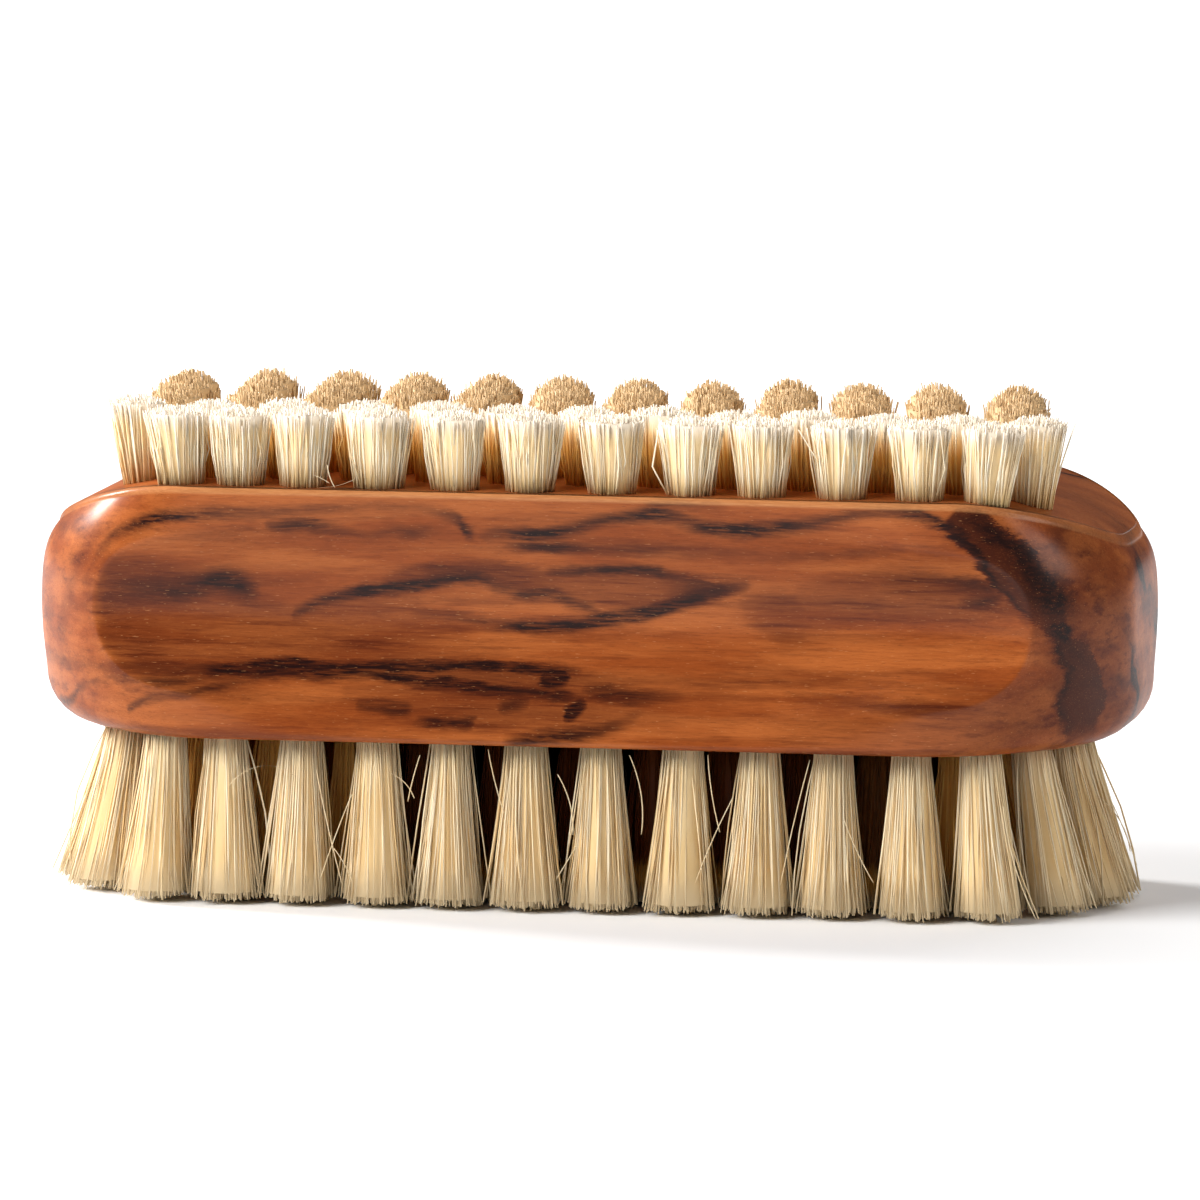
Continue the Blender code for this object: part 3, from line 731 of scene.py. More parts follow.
@dataclass(frozen=True)
class FloorFinish:
    """Matt studio paper, faintly mottled."""

    pale: Color = (0.90, 0.90, 0.90, 1)
    deep: Color = (0.87, 0.87, 0.87, 1)
    mottle: Waves = Waves((6.0, 6.0, 6.0), 3.0)
    roughness: float = 0.8

    def build(self) -> bpy.types.Material:
        """Return the material."""
        graph = NodeGraph("studio_floor_finish")
        mottle = graph.noise(graph.add("TexCoord").outputs["Object"], self.mottle)
        return graph.finish(Base_Color=graph.mix(mottle, self.deep, self.pale), Roughness=self.roughness)


# Wooden body


@dataclass(frozen=True)
class BodyShape:
    """Outline of the body: its plan, how its faces fall at the ends, and the finger groove.

    Each end curve is a full size less a drop, plus the drop times (1 less share to one power) to the other
    power. The share runs from 0 where the curve starts to 1 at the body's end. The finger groove is a trough
    whose floor is level and rises along a parabola near its ends. Its section is a parabola too, tall in the
    middle of the body and lower towards the ends.
    """

    length: float = 0.100
    width: float = 0.040
    height: float = 0.0226
    middle_height: float = 0.0264
    plan_curve: tuple[float, float, float, float] = (0.0170, 0.0146, 2.225, 1.17)
    top_curve: tuple[float, float, float, float] = (0.01528, 0.00591, 1.9, 1.366)
    base_curve: tuple[float, float, float, float] = (0.01006, 0.00086, 3.56, 1.007)
    crown: float = 0.0014
    lean: float = 0.00114
    lean_start: float = 0.001
    lean_power: float = 3.75
    top_rims: tuple[float, float] = (0.0004, 0.0006)
    base_rims: tuple[float, float] = (0.0006, 0.0037)
    groove_middle: float = -0.0009
    groove_half_length: float = 0.0421
    groove_depth: float = 0.0032
    groove_end_depth: float = 0.0021
    groove_ramp: float = 0.0100
    groove_half_heights: tuple[float, float] = (0.0104, 0.0070)
    groove_narrowing: tuple[float, float] = (0.0120, 0.0350)
    groove_edges: tuple[float, float] = (0.00008, 0.0012)
    groove_crisp: tuple[float, float] = (0.0260, 0.0350)
    groove_limit: float = 0.0463

    def end_curve(self, x: np.ndarray, full: float, curve: tuple[float, float, float, float]) -> np.ndarray:
        """Return a face's distance from the middle at x, along its end curve."""
        run, drop, run_power, drop_power = curve
        share = np.clip((np.abs(x) - (self.length / 2 - run)) / run, 0, 1)
        return full - drop + drop * (1 - share**run_power) ** (1 / drop_power)

    def side(self, x: np.ndarray) -> np.ndarray:
        """Return the plan's half width at x."""
        return self.end_curve(x, self.width / 2, self.plan_curve)

    def top(self, x: np.ndarray) -> np.ndarray:
        """Return the height of the upper face over the middle at x."""
        return self.end_curve(x, self.height / 2, self.top_curve)

    def base(self, x: np.ndarray) -> np.ndarray:
        """Return the depth of the lower face under the middle at x."""
        return self.end_curve(x, self.height / 2, self.base_curve)

    def groove(self, x: np.ndarray, z: np.ndarray) -> np.ndarray:
        """Return how deep the trough lies under the flat of the side at x and z, negative far outside it.

        The depth is the floor's, times 1 less the square of z over the half height there.
        """
        place = np.abs(x - self.groove_middle)
        rise = np.maximum(place - (self.groove_half_length - self.groove_ramp), 0) / self.groove_ramp
        floor = self.groove_depth + (self.groove_end_depth - self.groove_depth) * rise**2
        tall, low = self.groove_half_heights
        half = tall + (low - tall) * soft_step(place, *self.groove_narrowing)
        return floor * (1 - (z / half) ** 2)


@dataclass
class WoodenBody:
    """The body's surface: a wall that follows the plan's outline, closed by a strip of cells on each face.

    A quarter is worked out for each end and side, because the groove isn't quite in the middle.
    """

    shape: BodyShape = field(default_factory=BodyShape)
    wall_cells: int = 92
    rim_cells: int = 7
    end_cells: int = 10
    line_density: tuple[tuple[float, float], ...] = (
        (0.0, 0.6), (24.0, 0.8), (31.0, 2.5), (34.0, 5.0), (46.0, 5.0), (49.0, 2.6), (70.0, 2.6),
    )
    end_length: float = 0.0040
    # How much less of the painted rim highlight the ends get.
    end_highlight_fade: float = 0.75
    curve_steps: int = 4001
    outline_steps: int = 6001
    corner_round: float = 0.0020
    bell_reach: float = 3.0
    weld: float = 0.000002

    def plan(self) -> tuple[np.ndarray, ...]:
        """Lay out a quarter of the plan's outline.

        The outline of one end is resampled evenly and averaged with a bell-shaped weight, which rounds the
        corners of the flat end. Its curved part gets as many places to a millimetre as the line density says,
        by that density's running sum, and its last stretch is cut into even cells.

        Returns:
            The places' x and y, and the x and y parts of the outward normals.
        """
        shape = self.shape
        x = np.sin(np.linspace(0, np.pi / 2, self.curve_steps)) * shape.length / 2
        y = shape.side(x)
        x = np.concatenate((x, x[::-1]))
        y = np.concatenate((y, -y[::-1]))
        run = np.concatenate(([0], np.cumsum(np.hypot(np.diff(x), np.diff(y)))))
        steps = np.linspace(0, run[-1], self.outline_steps)
        x, y = np.interp(steps, run, x), np.interp(steps, run, y)
        reach = int(self.bell_reach * self.corner_round / steps[1])
        weights = np.exp(-0.5 * (np.arange(-reach, reach + 1) * steps[1] / self.corner_round) ** 2)
        weights /= weights.sum()
        before, after = -steps[1] * np.arange(reach, 0, -1), -steps[1] * np.arange(1, reach + 1)
        x = np.convolve(np.concatenate((before, x, after)), weights, mode="valid")
        y = np.convolve(np.pad(y, reach, mode="edge"), weights, mode="valid")
        run = np.concatenate(([0], np.cumsum(np.hypot(np.diff(x), np.diff(y)))))
        places, density = np.array(self.line_density).T
        rate = np.interp(run / MM, places, density)
        total = np.concatenate(([0], np.cumsum((rate[1:] + rate[:-1]) / 2 * np.diff(run / MM))))
        inner = run[-1] / 2 - self.end_length
        last = np.interp(inner, run, total)
        even = np.interp(np.linspace(0, last, int(last) + 1), total, run)
        even = np.concatenate((even, np.linspace(inner, run[-1] / 2, self.end_cells + 1)[1:]))
        turn = np.interp(even, run, np.arctan2(np.gradient(x, run), -np.gradient(y, run)))
        return np.interp(even, run, x), np.interp(even, run, y), np.cos(turn), np.sin(turn)

    def wall(self, end: int, side: int) -> np.ndarray:
        """Work out a quarter of the wall, from the upper face's edge down to the lower face's.

        Each row keeps the plan's outline, drawn in along its normals. The edges are quarter circles whose
        radius grows towards the ends. Between them the wall leans in as it rises at the ends, and it bulges
        at the corners, most at half height. Points that stand out of the groove's trough are drawn in to it,
        with a softly rounded edge: the lesser of the two, less a little where they are close.

        Args:
            end: Which end, 1 or -1.
            side: Which side, 1 or -1.

        Returns:
            The points, shaped (row, place, 3).
        """
        shape = self.shape
        x, y, normal_x, normal_y = self.plan()
        top_rim = shape.top_rims[0] + (shape.top_rims[1] - shape.top_rims[0]) * normal_x
        base_rim = shape.base_rims[0] + (shape.base_rims[1] - shape.base_rims[0]) * normal_x
        arc = np.linspace(0, np.pi / 2, self.rim_cells + 1)[:, None]
        lean = shape.lean * normal_x
        bulge = shape.crown * (2 * normal_x * normal_y) ** 2
        high = shape.top(x - normal_x * lean) - top_rim
        low = base_rim - shape.base(x)
        share = np.linspace(0, 1, self.wall_cells + 1)[1:-1, None]
        middle_z = high + (low - high) * share
        rise = np.clip((middle_z - shape.lean_start) / (high - shape.lean_start), 0, 1) ** shape.lean_power
        round_off = (1 - (2 * share - 1) ** 2) * bulge
        inset = np.concatenate((
            lean + top_rim * (1 - np.cos(arc[::-1])), lean * rise - round_off, base_rim * (1 - np.cos(arc)),
        ))
        wall_x = x - normal_x * inset
        wall_y = np.maximum(y - normal_y * inset, 0)
        top_z = shape.top(wall_x[: self.rim_cells + 1]) - top_rim * (1 - np.sin(arc[::-1]))
        base_z = base_rim * (1 - np.sin(arc)) - shape.base(wall_x[-self.rim_cells - 1 :])
        wall_z = np.concatenate((top_z, middle_z, base_z))
        trough = shape.width / 2 - shape.groove(end * wall_x, wall_z)
        crisp, soft = shape.groove_edges
        edge = soft + (crisp - soft) * soft_step(wall_x, *shape.groove_crisp)
        cut = (wall_y + trough - np.hypot(wall_y - trough, edge)) / 2
        wall_y = np.where(wall_x < shape.groove_limit, cut, wall_y)
        return np.stack((end * wall_x, side * np.maximum(wall_y, 0), wall_z + shape.middle_height), axis=-1)

    def face(self, edge: np.ndarray) -> np.ndarray:
        """Return half of a face as strips from the wall's edge to the middle, level across the body.

        The shares of the way across are those of the flat end's own places, so that the strips meet it.
        """
        inner = edge[: -self.end_cells]
        shares = edge[-self.end_cells - 1 :, 1] / edge[-self.end_cells - 1, 1]
        y = inner[None, :, 1] * shares[:, None]
        x, z = (np.broadcast_to(inner[:, axis], y.shape) for axis in (0, 2))
        points = np.stack((x, y, z), axis=-1)
        points[:, -1] = edge[-self.end_cells - 1 :]
        return points

    def build(self) -> bpy.types.Object:
        """Return the body, with its quarters welded along their shared edges."""
        vertices, faces, rim_highlight_blocks, first = [], [], [], 0
        rim_highlight_share = 1 - self.end_highlight_fade * self.plan()[2]
        for end in (1, -1):
            for side in (1, -1):
                wall = self.wall(end, side)
                for grid, turn in ((wall, 1), (self.face(wall[0]), 1), (self.face(wall[-1]), -1)):
                    rows, places = grid.shape[:2]
                    row, place = np.meshgrid(np.arange(rows - 1), np.arange(places - 1), indexing="ij")
                    corner = first + row * places + place
                    quads = np.stack((corner, corner + places, corner + places + 1, corner + 1), axis=-1)
                    faces.append(quads.reshape(-1, 4)[:, :: end * side * turn])
                    vertices.append(grid.reshape(-1, 3))
                    # Painted highlight: the upper rim's cells and the upper face's edge row carry a share of
                    # a lighter colour, less at the ends.
                    rim_highlight = np.zeros((rows, places))
                    if turn > 0:
                        rim_highlight[: self.rim_cells + 1 if grid is wall else 1] = rim_highlight_share[:places]
                    rim_highlight_blocks.append(rim_highlight.ravel())
                    first += rows * places
        values = {"painted_rim_highlight": np.concatenate(rim_highlight_blocks)}
        obj = make_object("wooden_body_surface", np.concatenate(vertices), faces, values)
        weld_mesh(obj.data, self.weld)
        obj.data.materials.append(WoodFinish().build())
        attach(obj, BODY)
        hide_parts("wooden_body")
        return obj


# Bristles


@dataclass
class TuftField:
    """One face's tufts: rows of round bundles, each bristle a thin tube from in the wood to its cut tip.

    The bristles of a tuft are spread like the seeds of a sunflower: bristle k of n stands at the square root
    of k / n of the radius, and each is a golden angle on from the last. Most fields that end in spread are
    the widths of bell-shaped chance differences; height_spread is the most that a whole tuft is cut shorter.
    A dense core fills each tuft. The front row may have strays that are drawn one by one, each as its place
    across and its places along and up, in millimetres.
    """

    name: str
    up: int
    pitch: float
    reach: float
    root_radius: float
    tip_radius: float
    domes: tuple[float, float]
    end_margin: float
    end_bow: float
    stagger: float
    shift: float
    slant_share: float
    end_lean: float
    tip_scatter: float
    ragged: float
    flare_power: float
    bristles: int
    bristle_radius: float
    stations: int
    finishes: tuple[BristleFinish, BristleFinish]
    shape: BodyShape = field(default_factory=BodyShape)
    rows: int = 6
    row_to_side: float = 0.0038
    rim_margin: float = 0.0038
    front_rows: int = 2
    staggered_row: int = 1
    lean_power: float = 8.0
    root_depth: float = 0.0006
    sides: int = 3
    place_spread: float = 0.00012
    lean_spread: float = 0.012
    disc_spread: float = 0.03
    angle_spread: float = 0.05
    squash: float = 0.06
    clumps: int = 12
    clump_share: float = 0.8
    twist_spread: float = 0.06
    tip_spread: float = 0.05
    even_share: float = 0.7
    tone_middle: float = 0.5
    tone_spreads: tuple[float, float] = (0.22, 0.08)
    radius_spread: float = 0.12
    taper: float = 0.86
    wild_share: float = 0.07
    wild_scatter: float = 3.4
    bows: tuple[float, float] = (0.00013, 0.00036)
    core_share: float = 0.88
    core_reach: float = 0.965
    core_sides: int = 14
    # Painted shade: the cores' darker straw tone stands for the shade inside each tuft.
    core_tone: float = 0.1
    # Painted shade among the tufts: inner rows are painted golden near the field's ends and dark in its
    # middle, and the shade fades out towards the tips.
    darkness: float = 1.0
    golden_margin: tuple[float, float] = (0.84, 0.98)
    dark_margins: tuple[tuple[float, float], tuple[float, float]] = ((0.28, 0.62), (0.60, 0.86))
    shade_depth_end: tuple[float, float] = (0.88, 1.0)
    strays: tuple[tuple[float, tuple[tuple[float, float], ...]], ...] = ()
    stray_radius: float = 0.00006
    stray_taper: float = 0.5
    stray_stations: int = 14
    stray_tone: float = 0.5
    stray_along: float = 0.5
    front_lean_share: float = 1.0
    front_nudges: tuple[float, ...] = (0.0,)
    height_spread: float = 0.0

    def row_place(self, row: int) -> tuple[float, float, float]:
        """Return a row's place across the body, its middle along it and its half length."""
        half_width = self.shape.width / 2 - self.row_to_side
        y = half_width * (2 * row / (self.rows - 1) - 1)
        half = self.shape.length / 2 - self.end_margin - self.end_bow * (y / half_width) ** 2
        half += self.stagger if row == self.staggered_row else 0.0
        return y, self.shift - self.slant_share * y, half

    def tuft_axes(self, row: int, rng: np.random.Generator) -> tuple[np.ndarray, np.ndarray, np.ndarray]:
        """Return the tufts' places along the row, their shares of the way to its end, and their leans."""
        y, middle, half = self.row_place(row)
        outer = (y / (self.shape.width / 2 - self.row_to_side)) ** 2
        gaps = max(round(2 * half / self.pitch), 1)
        share = np.linspace(-1, 1, gaps + 1)
        x = middle + half * share + rng.normal(0, self.place_spread, gaps + 1)
        if row == 0:
            x = x + np.array(self.front_nudges) * MM
        most = math.radians(self.end_lean) * (1 + (self.front_lean_share - 1) * outer)
        lean = np.sign(share) * np.tan(most * np.abs(share) ** self.lean_power)
        return x, share, lean + rng.normal(0, self.lean_spread, gaps + 1)

    def paths(self, row: int, rng: np.random.Generator) -> tuple[np.ndarray, np.ndarray]:
        """Work out every bristle's path in a row.

        A bristle goes from its place in the root disc to its place in the wider tip disc. Its way out follows
        the share of its length to the flare power. To this come the tuft's lean, a shallow bow that is a sine
        along the length, and a stray tip for a few wild ones.

        Args:
            row: The row's number from the front.
            rng: Source of the small differences between bristles.

        Returns:
            The paths, shaped (bristle, station, 3), and each bristle's tone from 0 to 1.
        """
        y_row, _, _ = self.row_place(row)
        x_tuft, _, lean = self.tuft_axes(row, rng)
        limit = self.shape.side(x_tuft) - self.rim_margin
        y_tuft = np.clip(y_row, -limit, limit)[:, None, None]
        per_tuft = (len(x_tuft), 1)
        shape = (len(x_tuft), self.bristles)
        order = (np.arange(self.bristles) + 0.5) / self.bristles
        spread = np.sqrt(order) * (1 + rng.normal(0, self.disc_spread, shape))
        angle = GOLDEN_ANGLE * np.arange(self.bristles) + rng.uniform(0, 2 * np.pi, per_tuft)
        angle = angle + rng.normal(0, self.angle_spread, shape)
        oval = 1 + self.squash * np.cos(2 * angle + rng.uniform(0, 2 * np.pi, per_tuft))
        root = self.root_radius * spread * oval
        wild = rng.random(shape) < self.wild_share
        scatter = self.tip_scatter * np.where(wild, self.wild_scatter, 1.0)
        clumps = rng.normal(0, self.tip_scatter * self.clump_share, (len(x_tuft), self.clumps, 2))
        clump = np.floor((angle / (2 * np.pi) * self.clumps) % self.clumps).astype(int)
        shift = clumps[np.arange(len(x_tuft))[:, None], clump]
        shift = shift + rng.normal(0, 1, (*shape, 2)) * scatter[..., None]
        tip_angle = angle + rng.normal(0, self.twist_spread, shape)
        tip = self.tip_radius * spread * oval * (1 + rng.normal(0, self.tip_spread, shape))
        bow = rng.normal(0, 1, (*shape, 2)) * (self.bows[0] + self.bows[1] * wild)[..., None]
        t = np.linspace(0, 1, self.stations)
        flare = t**self.flare_power
        bend = np.sin(np.pi * t)
        dome = self.domes[0] if row < self.front_rows else self.domes[1]
        cut = dome * spread**2 + self.height_spread * rng.random(per_tuft)
        cut = cut + np.abs(rng.normal(0, self.ragged, shape))
        cut = cut + self.even_share * self.ragged * rng.random(shape)
        reach_mid = self.shape.top if self.up > 0 else self.shape.base
        face = self.shape.middle_height + self.up * reach_mid(x_tuft)[:, None]
        tip_z = self.shape.middle_height + self.up * (self.shape.height / 2 + self.reach - cut)
        root_z = face - self.up * self.root_depth
        z = root_z[..., None] + (tip_z - root_z)[..., None] * t
        out = np.maximum(self.up * (z - face[..., None]), 0)
        x = x_tuft[:, None, None] + (root * np.cos(angle))[..., None] * (1 - flare)
        x = x + (tip * np.cos(tip_angle) + shift[..., 0])[..., None] * flare
        x = x + lean[:, None, None] * out + bow[..., 0, None] * bend
        y = y_tuft + (root * np.sin(angle))[..., None] * (1 - flare)
        y = y + (tip * np.sin(tip_angle) + shift[..., 1])[..., None] * flare + bow[..., 1, None] * bend
        fine, coarse = self.tone_spreads
        tone = self.tone_middle + rng.normal(0, fine, shape) + rng.normal(0, coarse, per_tuft)
        return np.stack((x, y, z), axis=-1).reshape(-1, self.stations, 3), tone.ravel()

    def cores(self, paths: np.ndarray) -> tuple[np.ndarray, np.ndarray]:
        """Work out the dense heart of each tuft, which stands for the bristles that can't be seen singly.

        Its axis is the mean of the tuft's bristles, up to a share of their length. Its radius is a share of
        the root disc's and the tip disc's, mixed by the flare.

        Args:
            paths: The row's bristle paths, tuft after tuft.

        Returns:
            The axes, shaped (tuft, station, 3), and their radii, shaped (tuft, station).
        """
        axes = paths.reshape(-1, self.bristles, self.stations, 3).mean(axis=1)
        reach = np.linspace(0, self.core_reach, self.stations)
        place = reach * (self.stations - 1)
        before = np.minimum(place.astype(int), self.stations - 2)
        share = (place - before)[None, :, None]
        axes = axes[:, before] * (1 - share) + axes[:, before + 1] * share
        flare = reach**self.flare_power
        radius = self.core_share * (self.root_radius + (self.tip_radius - self.root_radius) * flare)
        return axes, np.broadcast_to(radius, axes.shape[:2])

    def stray_paths(self) -> np.ndarray:
        """Return the drawn stray bristles as curves, each a polynomial through its places."""
        t = np.linspace(0, 1, self.stray_stations)
        paths = []
        for y, places in self.strays:
            points = np.array([(x, y, z) for x, z in places]) * MM
            run = np.concatenate(([0], np.cumsum(np.linalg.norm(np.diff(points, axis=0), axis=1))))
            fit = np.polyfit(run / run[-1], points, len(points) - 1)
            paths.append(np.stack([np.polyval(fit[:, axis], t) for axis in range(3)], axis=-1))
        return np.array(paths)

    def tuft_shade_depth(self, row: int, rng: np.random.Generator) -> np.ndarray:
        """Return each tuft's painted shade among its neighbours, from 0 in an outer row to 1.

        It draws the row's places again from the same source, so its turn among the draws matters.
        """
        _, share, _ = self.tuft_axes(row, rng)
        inside = 0.0 if row in (0, self.rows - 1) else 1.0
        golden = 1 - soft_step(np.abs(share), *self.golden_margin)
        dark = (1 - soft_step(-share, *self.dark_margins[0])) * (1 - soft_step(share, *self.dark_margins[1]))
        return inside * (0.5 * golden + 0.5 * dark * self.darkness)

    def build_row(self, row: int, material: bpy.types.Material) -> bpy.types.Object:
        """Return one row's bristles as one object in the place of the row's solid."""
        rng = np.random.default_rng(100 * (self.up + 2) + row)
        paths, tone = self.paths(row, rng)
        count = len(paths)
        uneven = 1 + rng.normal(0, self.radius_spread, (count, 1))
        radius = self.bristle_radius * uneven * np.linspace(1, self.taper, self.stations)
        vertices, faces = tubes(paths, radius, rng.uniform(0, 2 * np.pi, count), self.sides)
        axes, core_radius = self.cores(paths)
        core_vertices, core_faces = tubes(axes, core_radius, np.zeros(len(axes)), self.core_sides)
        faces += [block + len(vertices) for block in core_faces]
        per_hair, per_core = self.stations * self.sides, self.stations * self.core_sides
        reach = np.linspace(0, 1, self.stations)
        along = np.concatenate((
            np.tile(np.repeat(reach, self.sides), count),
            np.tile(np.repeat(reach * self.core_reach, self.core_sides), len(axes)),
        ))
        tones = np.concatenate((np.repeat(tone, per_hair), np.full(len(axes) * per_core, self.core_tone)))
        vertices = np.concatenate((vertices, core_vertices))
        # Painted shade among the tufts, fading out towards the tips.
        inner = self.tuft_shade_depth(row, rng)
        shade_depth = np.concatenate((np.repeat(inner, self.bristles * per_hair), np.repeat(inner, per_core)))
        shade_depth = shade_depth * (1 - soft_step(along, *self.shade_depth_end))
        if row == 0 and self.strays:
            strays = self.stray_paths()
            ends = np.array((*np.ones(self.stray_stations - 1), self.stray_taper)) * self.stray_radius
            stray_vertices, stray_faces = tubes(
                strays, np.broadcast_to(ends, strays.shape[:2]), np.zeros(len(strays)), self.sides
            )
            faces += [block + len(vertices) for block in stray_faces]
            vertices = np.concatenate((vertices, stray_vertices))
            tones = np.concatenate((tones, np.full(len(stray_vertices), self.stray_tone)))
            along = np.concatenate((along, np.full(len(stray_vertices), self.stray_along)))
            shade_depth = np.concatenate((shade_depth, np.zeros(len(stray_vertices))))
        values = {"tone": tones, "along": along, "shade_depth": shade_depth}
        node = f"{self.name}_bristle_row_{row + 1}"
        obj = make_object(f"{self.name}_tufts_{row + 1}", vertices, faces, values)
        obj.data.materials.append(material)
        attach(obj, BODY)
        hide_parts(node)
        return obj

    def build(self) -> list[bpy.types.Object]:
        """Return the field's rows."""
        front, back = (finish.build() for finish in self.finishes)
        return [self.build_row(row, front if row < self.front_rows else back) for row in range(self.rows)]


# Stray bristles: the place across of each one's plane, and the places along and up that it passes.
LOWER_STRAYS = (
    (-18.6, ((-30.2, 10.8), (-28.4, 12.3), (-26.3, 12.7), (-24.0, 11.6))),
    (-18.6, ((-22.2, 12.4), (-21.4, 8.4), (-19.8, 2.0))),
    (-18.6, ((-19.0, 10.3), (-20.8, 5.7), (-21.9, 2.5))),
    (-18.6, ((-20.6, 5.4), (-19.6, 3.9), (-18.9, 2.4))),
    (-18.6, ((-15.7, 12.4), (-14.4, 11.7), (-13.3, 10.1))),
    (-18.6, ((-12.8, 14.0), (-13.6, 11.2), (-13.9, 9.8))),
    (-18.6, ((25.6, 9.2), (26.6, 6.8), (28.3, 3.6))),
    (-18.6, ((22.5, 14.5), (21.0, 8.5), (19.9, 3.2))),
    (-4.6, ((47.2, 10.2), (48.3, 7.9), (49.8, 4.0))),
    (-4.6, ((46.5, 9.9), (48.6, 7.3), (49.2, 5.2))),
    (-18.6, ((39.9, 10.8), (40.9, 5.8), (42.9, 0.8))),
    (-18.6, ((-6.6, 14.7), (-5.8, 11.1), (-5.1, 8.9))),
    (-18.6, ((-0.3, 12.6), (0.8, 10.1), (1.1, 7.2))),
    (-18.6, ((6.2, 14.5), (7.3, 10.8), (7.3, 7.4))),
    (-18.6, ((1.4, 6.2), (0.4, 4.5), (-0.4, 3.2))),
    (-18.6, ((15.6, 11.0), (13.7, 7.0), (12.2, 3.2))),
    (-18.6, ((13.3, 14.7), (13.7, 11.0), (14.4, 7.8))),
)
UPPER_STRAYS = (
    (-18.4, ((-21.3, 39.8), (-21.0, 38.6), (-20.6, 37.8))),
    (-18.4, ((-22.5, 38.9), (-21.8, 38.6), (-21.1, 38.2))),
    (-18.4, ((-22.0, 37.8), (-20.4, 38.0), (-18.7, 38.7))),
)

# Painted light and shade: the pale tip stands for tips lit from above, and the golden root for the shade
# where the tufts meet the wood.
UPPER_FINISH = BristleFinish(
    "upper_bristle_finish",
    straw=(0.90, 0.68, 0.38, 1), ivory=(0.96, 0.88, 0.70, 1),
    tip=(0.91, 0.80, 0.67, 1), root=(0.90, 0.62, 0.24, 1),
)
# Painted shade: the four back upper rows get a darker, more golden copy of the upper finish, with tan tips,
# for the shade they stand in behind the front rows.
SHADED_BACK_FINISH = BristleFinish(
    "shaded_back_bristle_finish",
    straw=(0.88, 0.64, 0.32, 1), ivory=(0.88, 0.71, 0.43, 1),
    tip=(0.59, 0.375, 0.19, 1), root=(0.88, 0.60, 0.24, 1),
)
LOWER_FINISH = BristleFinish(
    "lower_bristle_finish",
    straw=(0.80, 0.57, 0.28, 1), ivory=(0.93, 0.81, 0.59, 1),
    tip=(0.85, 0.68, 0.43, 1), root=(0.91, 0.74, 0.46, 1),
)


def tuft_fields() -> tuple[TuftField, TuftField]:
    """Return the upper and the lower field."""
    upper = TuftField(
        name="upper", up=1, pitch=0.0069, reach=0.0074, root_radius=0.00195, tip_radius=0.00272,
        domes=(0.0007, 0.0018), end_margin=0.0120, end_bow=0.0006, stagger=0.0027, shift=-0.0006,
        slant_share=0.128, end_lean=6.0, tip_scatter=0.00012, ragged=0.00028, flare_power=1.1, bristles=310,
        bristle_radius=0.000085, stations=3, finishes=(UPPER_FINISH, SHADED_BACK_FINISH), darkness=0.0,
        shade_depth_end=(0.55, 0.85), strays=UPPER_STRAYS,
        front_nudges=(0.9, -0.4, -1.6, -1.5, -1.3, -1.3, -0.6, -0.4, -0.8, -0.3, -0.1, -1.0),
        height_spread=0.00035,
    )
    lower = TuftField(
        name="lower", up=-1, pitch=0.0070, reach=0.0151, root_radius=0.0017, tip_radius=0.0031,
        domes=(0.0004, 0.0004), end_margin=0.0071, end_bow=0.0050, stagger=0.0, shift=0.0,
        slant_share=0.0, end_lean=12.0, tip_scatter=0.00024, ragged=0.00030, flare_power=1.25, bristles=290,
        bristle_radius=0.000082, stations=5, finishes=(LOWER_FINISH, LOWER_FINISH),
        strays=LOWER_STRAYS, front_lean_share=0.35,
        front_nudges=(1.6, 0.0, 0.0, 0.0, 0.0, -0.3, -0.3, 0.2, 0.3, 0.0, 0.0, -0.5),
    )
    return upper, lower


# Studio


@dataclass(frozen=True)
class SoftBox:
    """A square lamp that faces the brush. One that isn't glossy lights it without being mirrored in it."""

    name: str
    place: tuple[float, float, float]
    size: float
    power: float
    glossy: bool = True

    def build(self, target: Vector) -> bpy.types.Object:
        """Return the lamp, turned to the target."""
        lamp = bpy.data.lights.new(self.name, "AREA")
        lamp.shape = "SQUARE"
        lamp.size = self.size
        lamp.energy = self.power
        obj = bpy.data.objects.new(self.name, lamp)
        obj.location = self.place
        obj.visible_glossy = self.glossy
        obj.rotation_euler = (target - Vector(self.place)).to_track_quat("-Z", "Y").to_euler()
        bpy.context.scene.collection.objects.link(obj)
        return obj


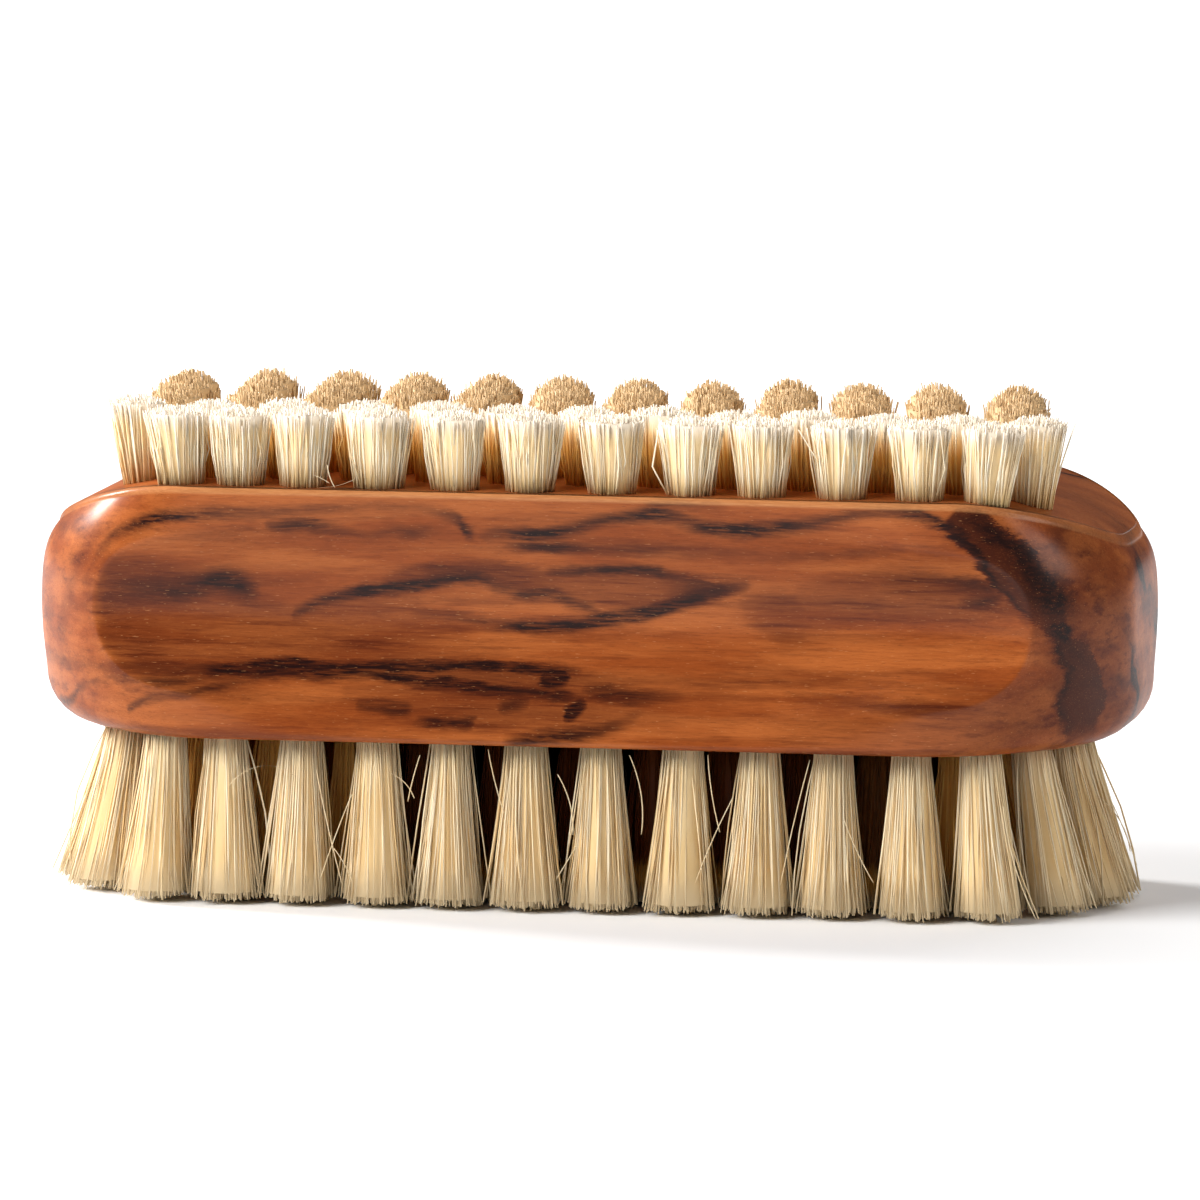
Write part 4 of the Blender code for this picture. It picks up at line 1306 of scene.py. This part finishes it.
@dataclass(frozen=True)
class Studio:
    """Pale floor, soft lamps, and a camera a step away with a long lens."""

    azimuth: float = 10.48
    elevation: float = 6.63
    roll: float = 0.17
    distance: float = 1.5
    lens: float = 499.5
    sensor: float = 36.0
    clip: tuple[float, float] = (0.05, 50.0)
    target: tuple[float, float, float] = (0.0, 0.0, 0.0264)
    nudge: tuple[float, float] = (0.00006, -0.00026)
    floor_half: float = 4.0
    world_color: Color = (1.0, 1.0, 1.0, 1.0)
    world_strength: float = 0.12
    lamps: tuple[SoftBox, ...] = (
        SoftBox("key_lamp", (-0.90, -0.75, 0.93), 0.9, 29.0, glossy=False),
        SoftBox("left_lamp", (-1.08, 0.43, 0.57), 0.34, 21.0),
        SoftBox("right_lamp", (1.17, -0.13, 0.52), 0.5, 4.0),
        SoftBox("floor_lamp", (0.2, 1.2, 1.4), 1.2, 14.0, glossy=False),
    )

    def build_floor(self) -> bpy.types.Object:
        """Return the floor, a flat square under the brush's lower tips."""
        half = self.floor_half
        corners = np.array(((-half, -half, 0), (half, -half, 0), (half, half, 0), (-half, half, 0)))
        floor = make_object("studio_floor", corners, (np.array([[0, 1, 2, 3]]),))
        floor.data.materials.append(FloorFinish().build())
        return floor

    def build_world(self) -> None:
        """Fill the room with even white light."""
        world = bpy.data.worlds.new("studio_room")
        world.use_nodes = True
        background = world.node_tree.nodes["Background"]
        background.inputs["Color"].default_value = self.world_color
        background.inputs["Strength"].default_value = self.world_strength
        bpy.context.scene.world = world

    def build_camera(self) -> bpy.types.Object:
        """Return the camera: on a sphere round the target, rolled a little, and moved by the nudge."""
        azimuth, elevation, roll = map(math.radians, (self.azimuth, self.elevation, self.roll))
        flat = math.cos(elevation)
        back = Vector((math.sin(azimuth) * flat, -math.cos(azimuth) * flat, math.sin(elevation)))
        level = Vector((math.cos(azimuth), math.sin(azimuth), 0.0))
        upright = back.cross(level)
        right = level * math.cos(roll) + upright * math.sin(roll)
        up = upright * math.cos(roll) - level * math.sin(roll)
        place = Vector(self.target) + back * self.distance + right * self.nudge[0] + up * self.nudge[1]
        lens = bpy.data.cameras.new("camera")
        lens.lens = self.lens
        lens.sensor_width = self.sensor
        lens.sensor_fit = "HORIZONTAL"
        lens.clip_start, lens.clip_end = self.clip
        camera = bpy.data.objects.new("camera", lens)
        turn = Matrix((right, up, back)).transposed()
        camera.matrix_world = Matrix.Translation(place) @ turn.to_4x4()
        bpy.context.scene.collection.objects.link(camera)
        bpy.context.scene.camera = camera
        return camera

    def build(self) -> None:
        """Set the studio up."""
        bpy.context.scene.view_settings.view_transform = "Standard"
        self.build_floor()
        self.build_world()
        for lamp in self.lamps:
            lamp.build(Vector(self.target))
        self.build_camera()


def main() -> None:
    """Build the brush and its studio."""
    logging.basicConfig(level=logging.INFO, format="%(name)s: %(message)s")
    body = WoodenBody().build()
    log.info("%s: %d faces", body.name, len(body.data.polygons))
    for tufts in tuft_fields():
        for row in tufts.build():
            log.info("%s: %d faces", row.name, len(row.data.polygons))
    Studio().build()


if __name__ == "__main__":
    main()
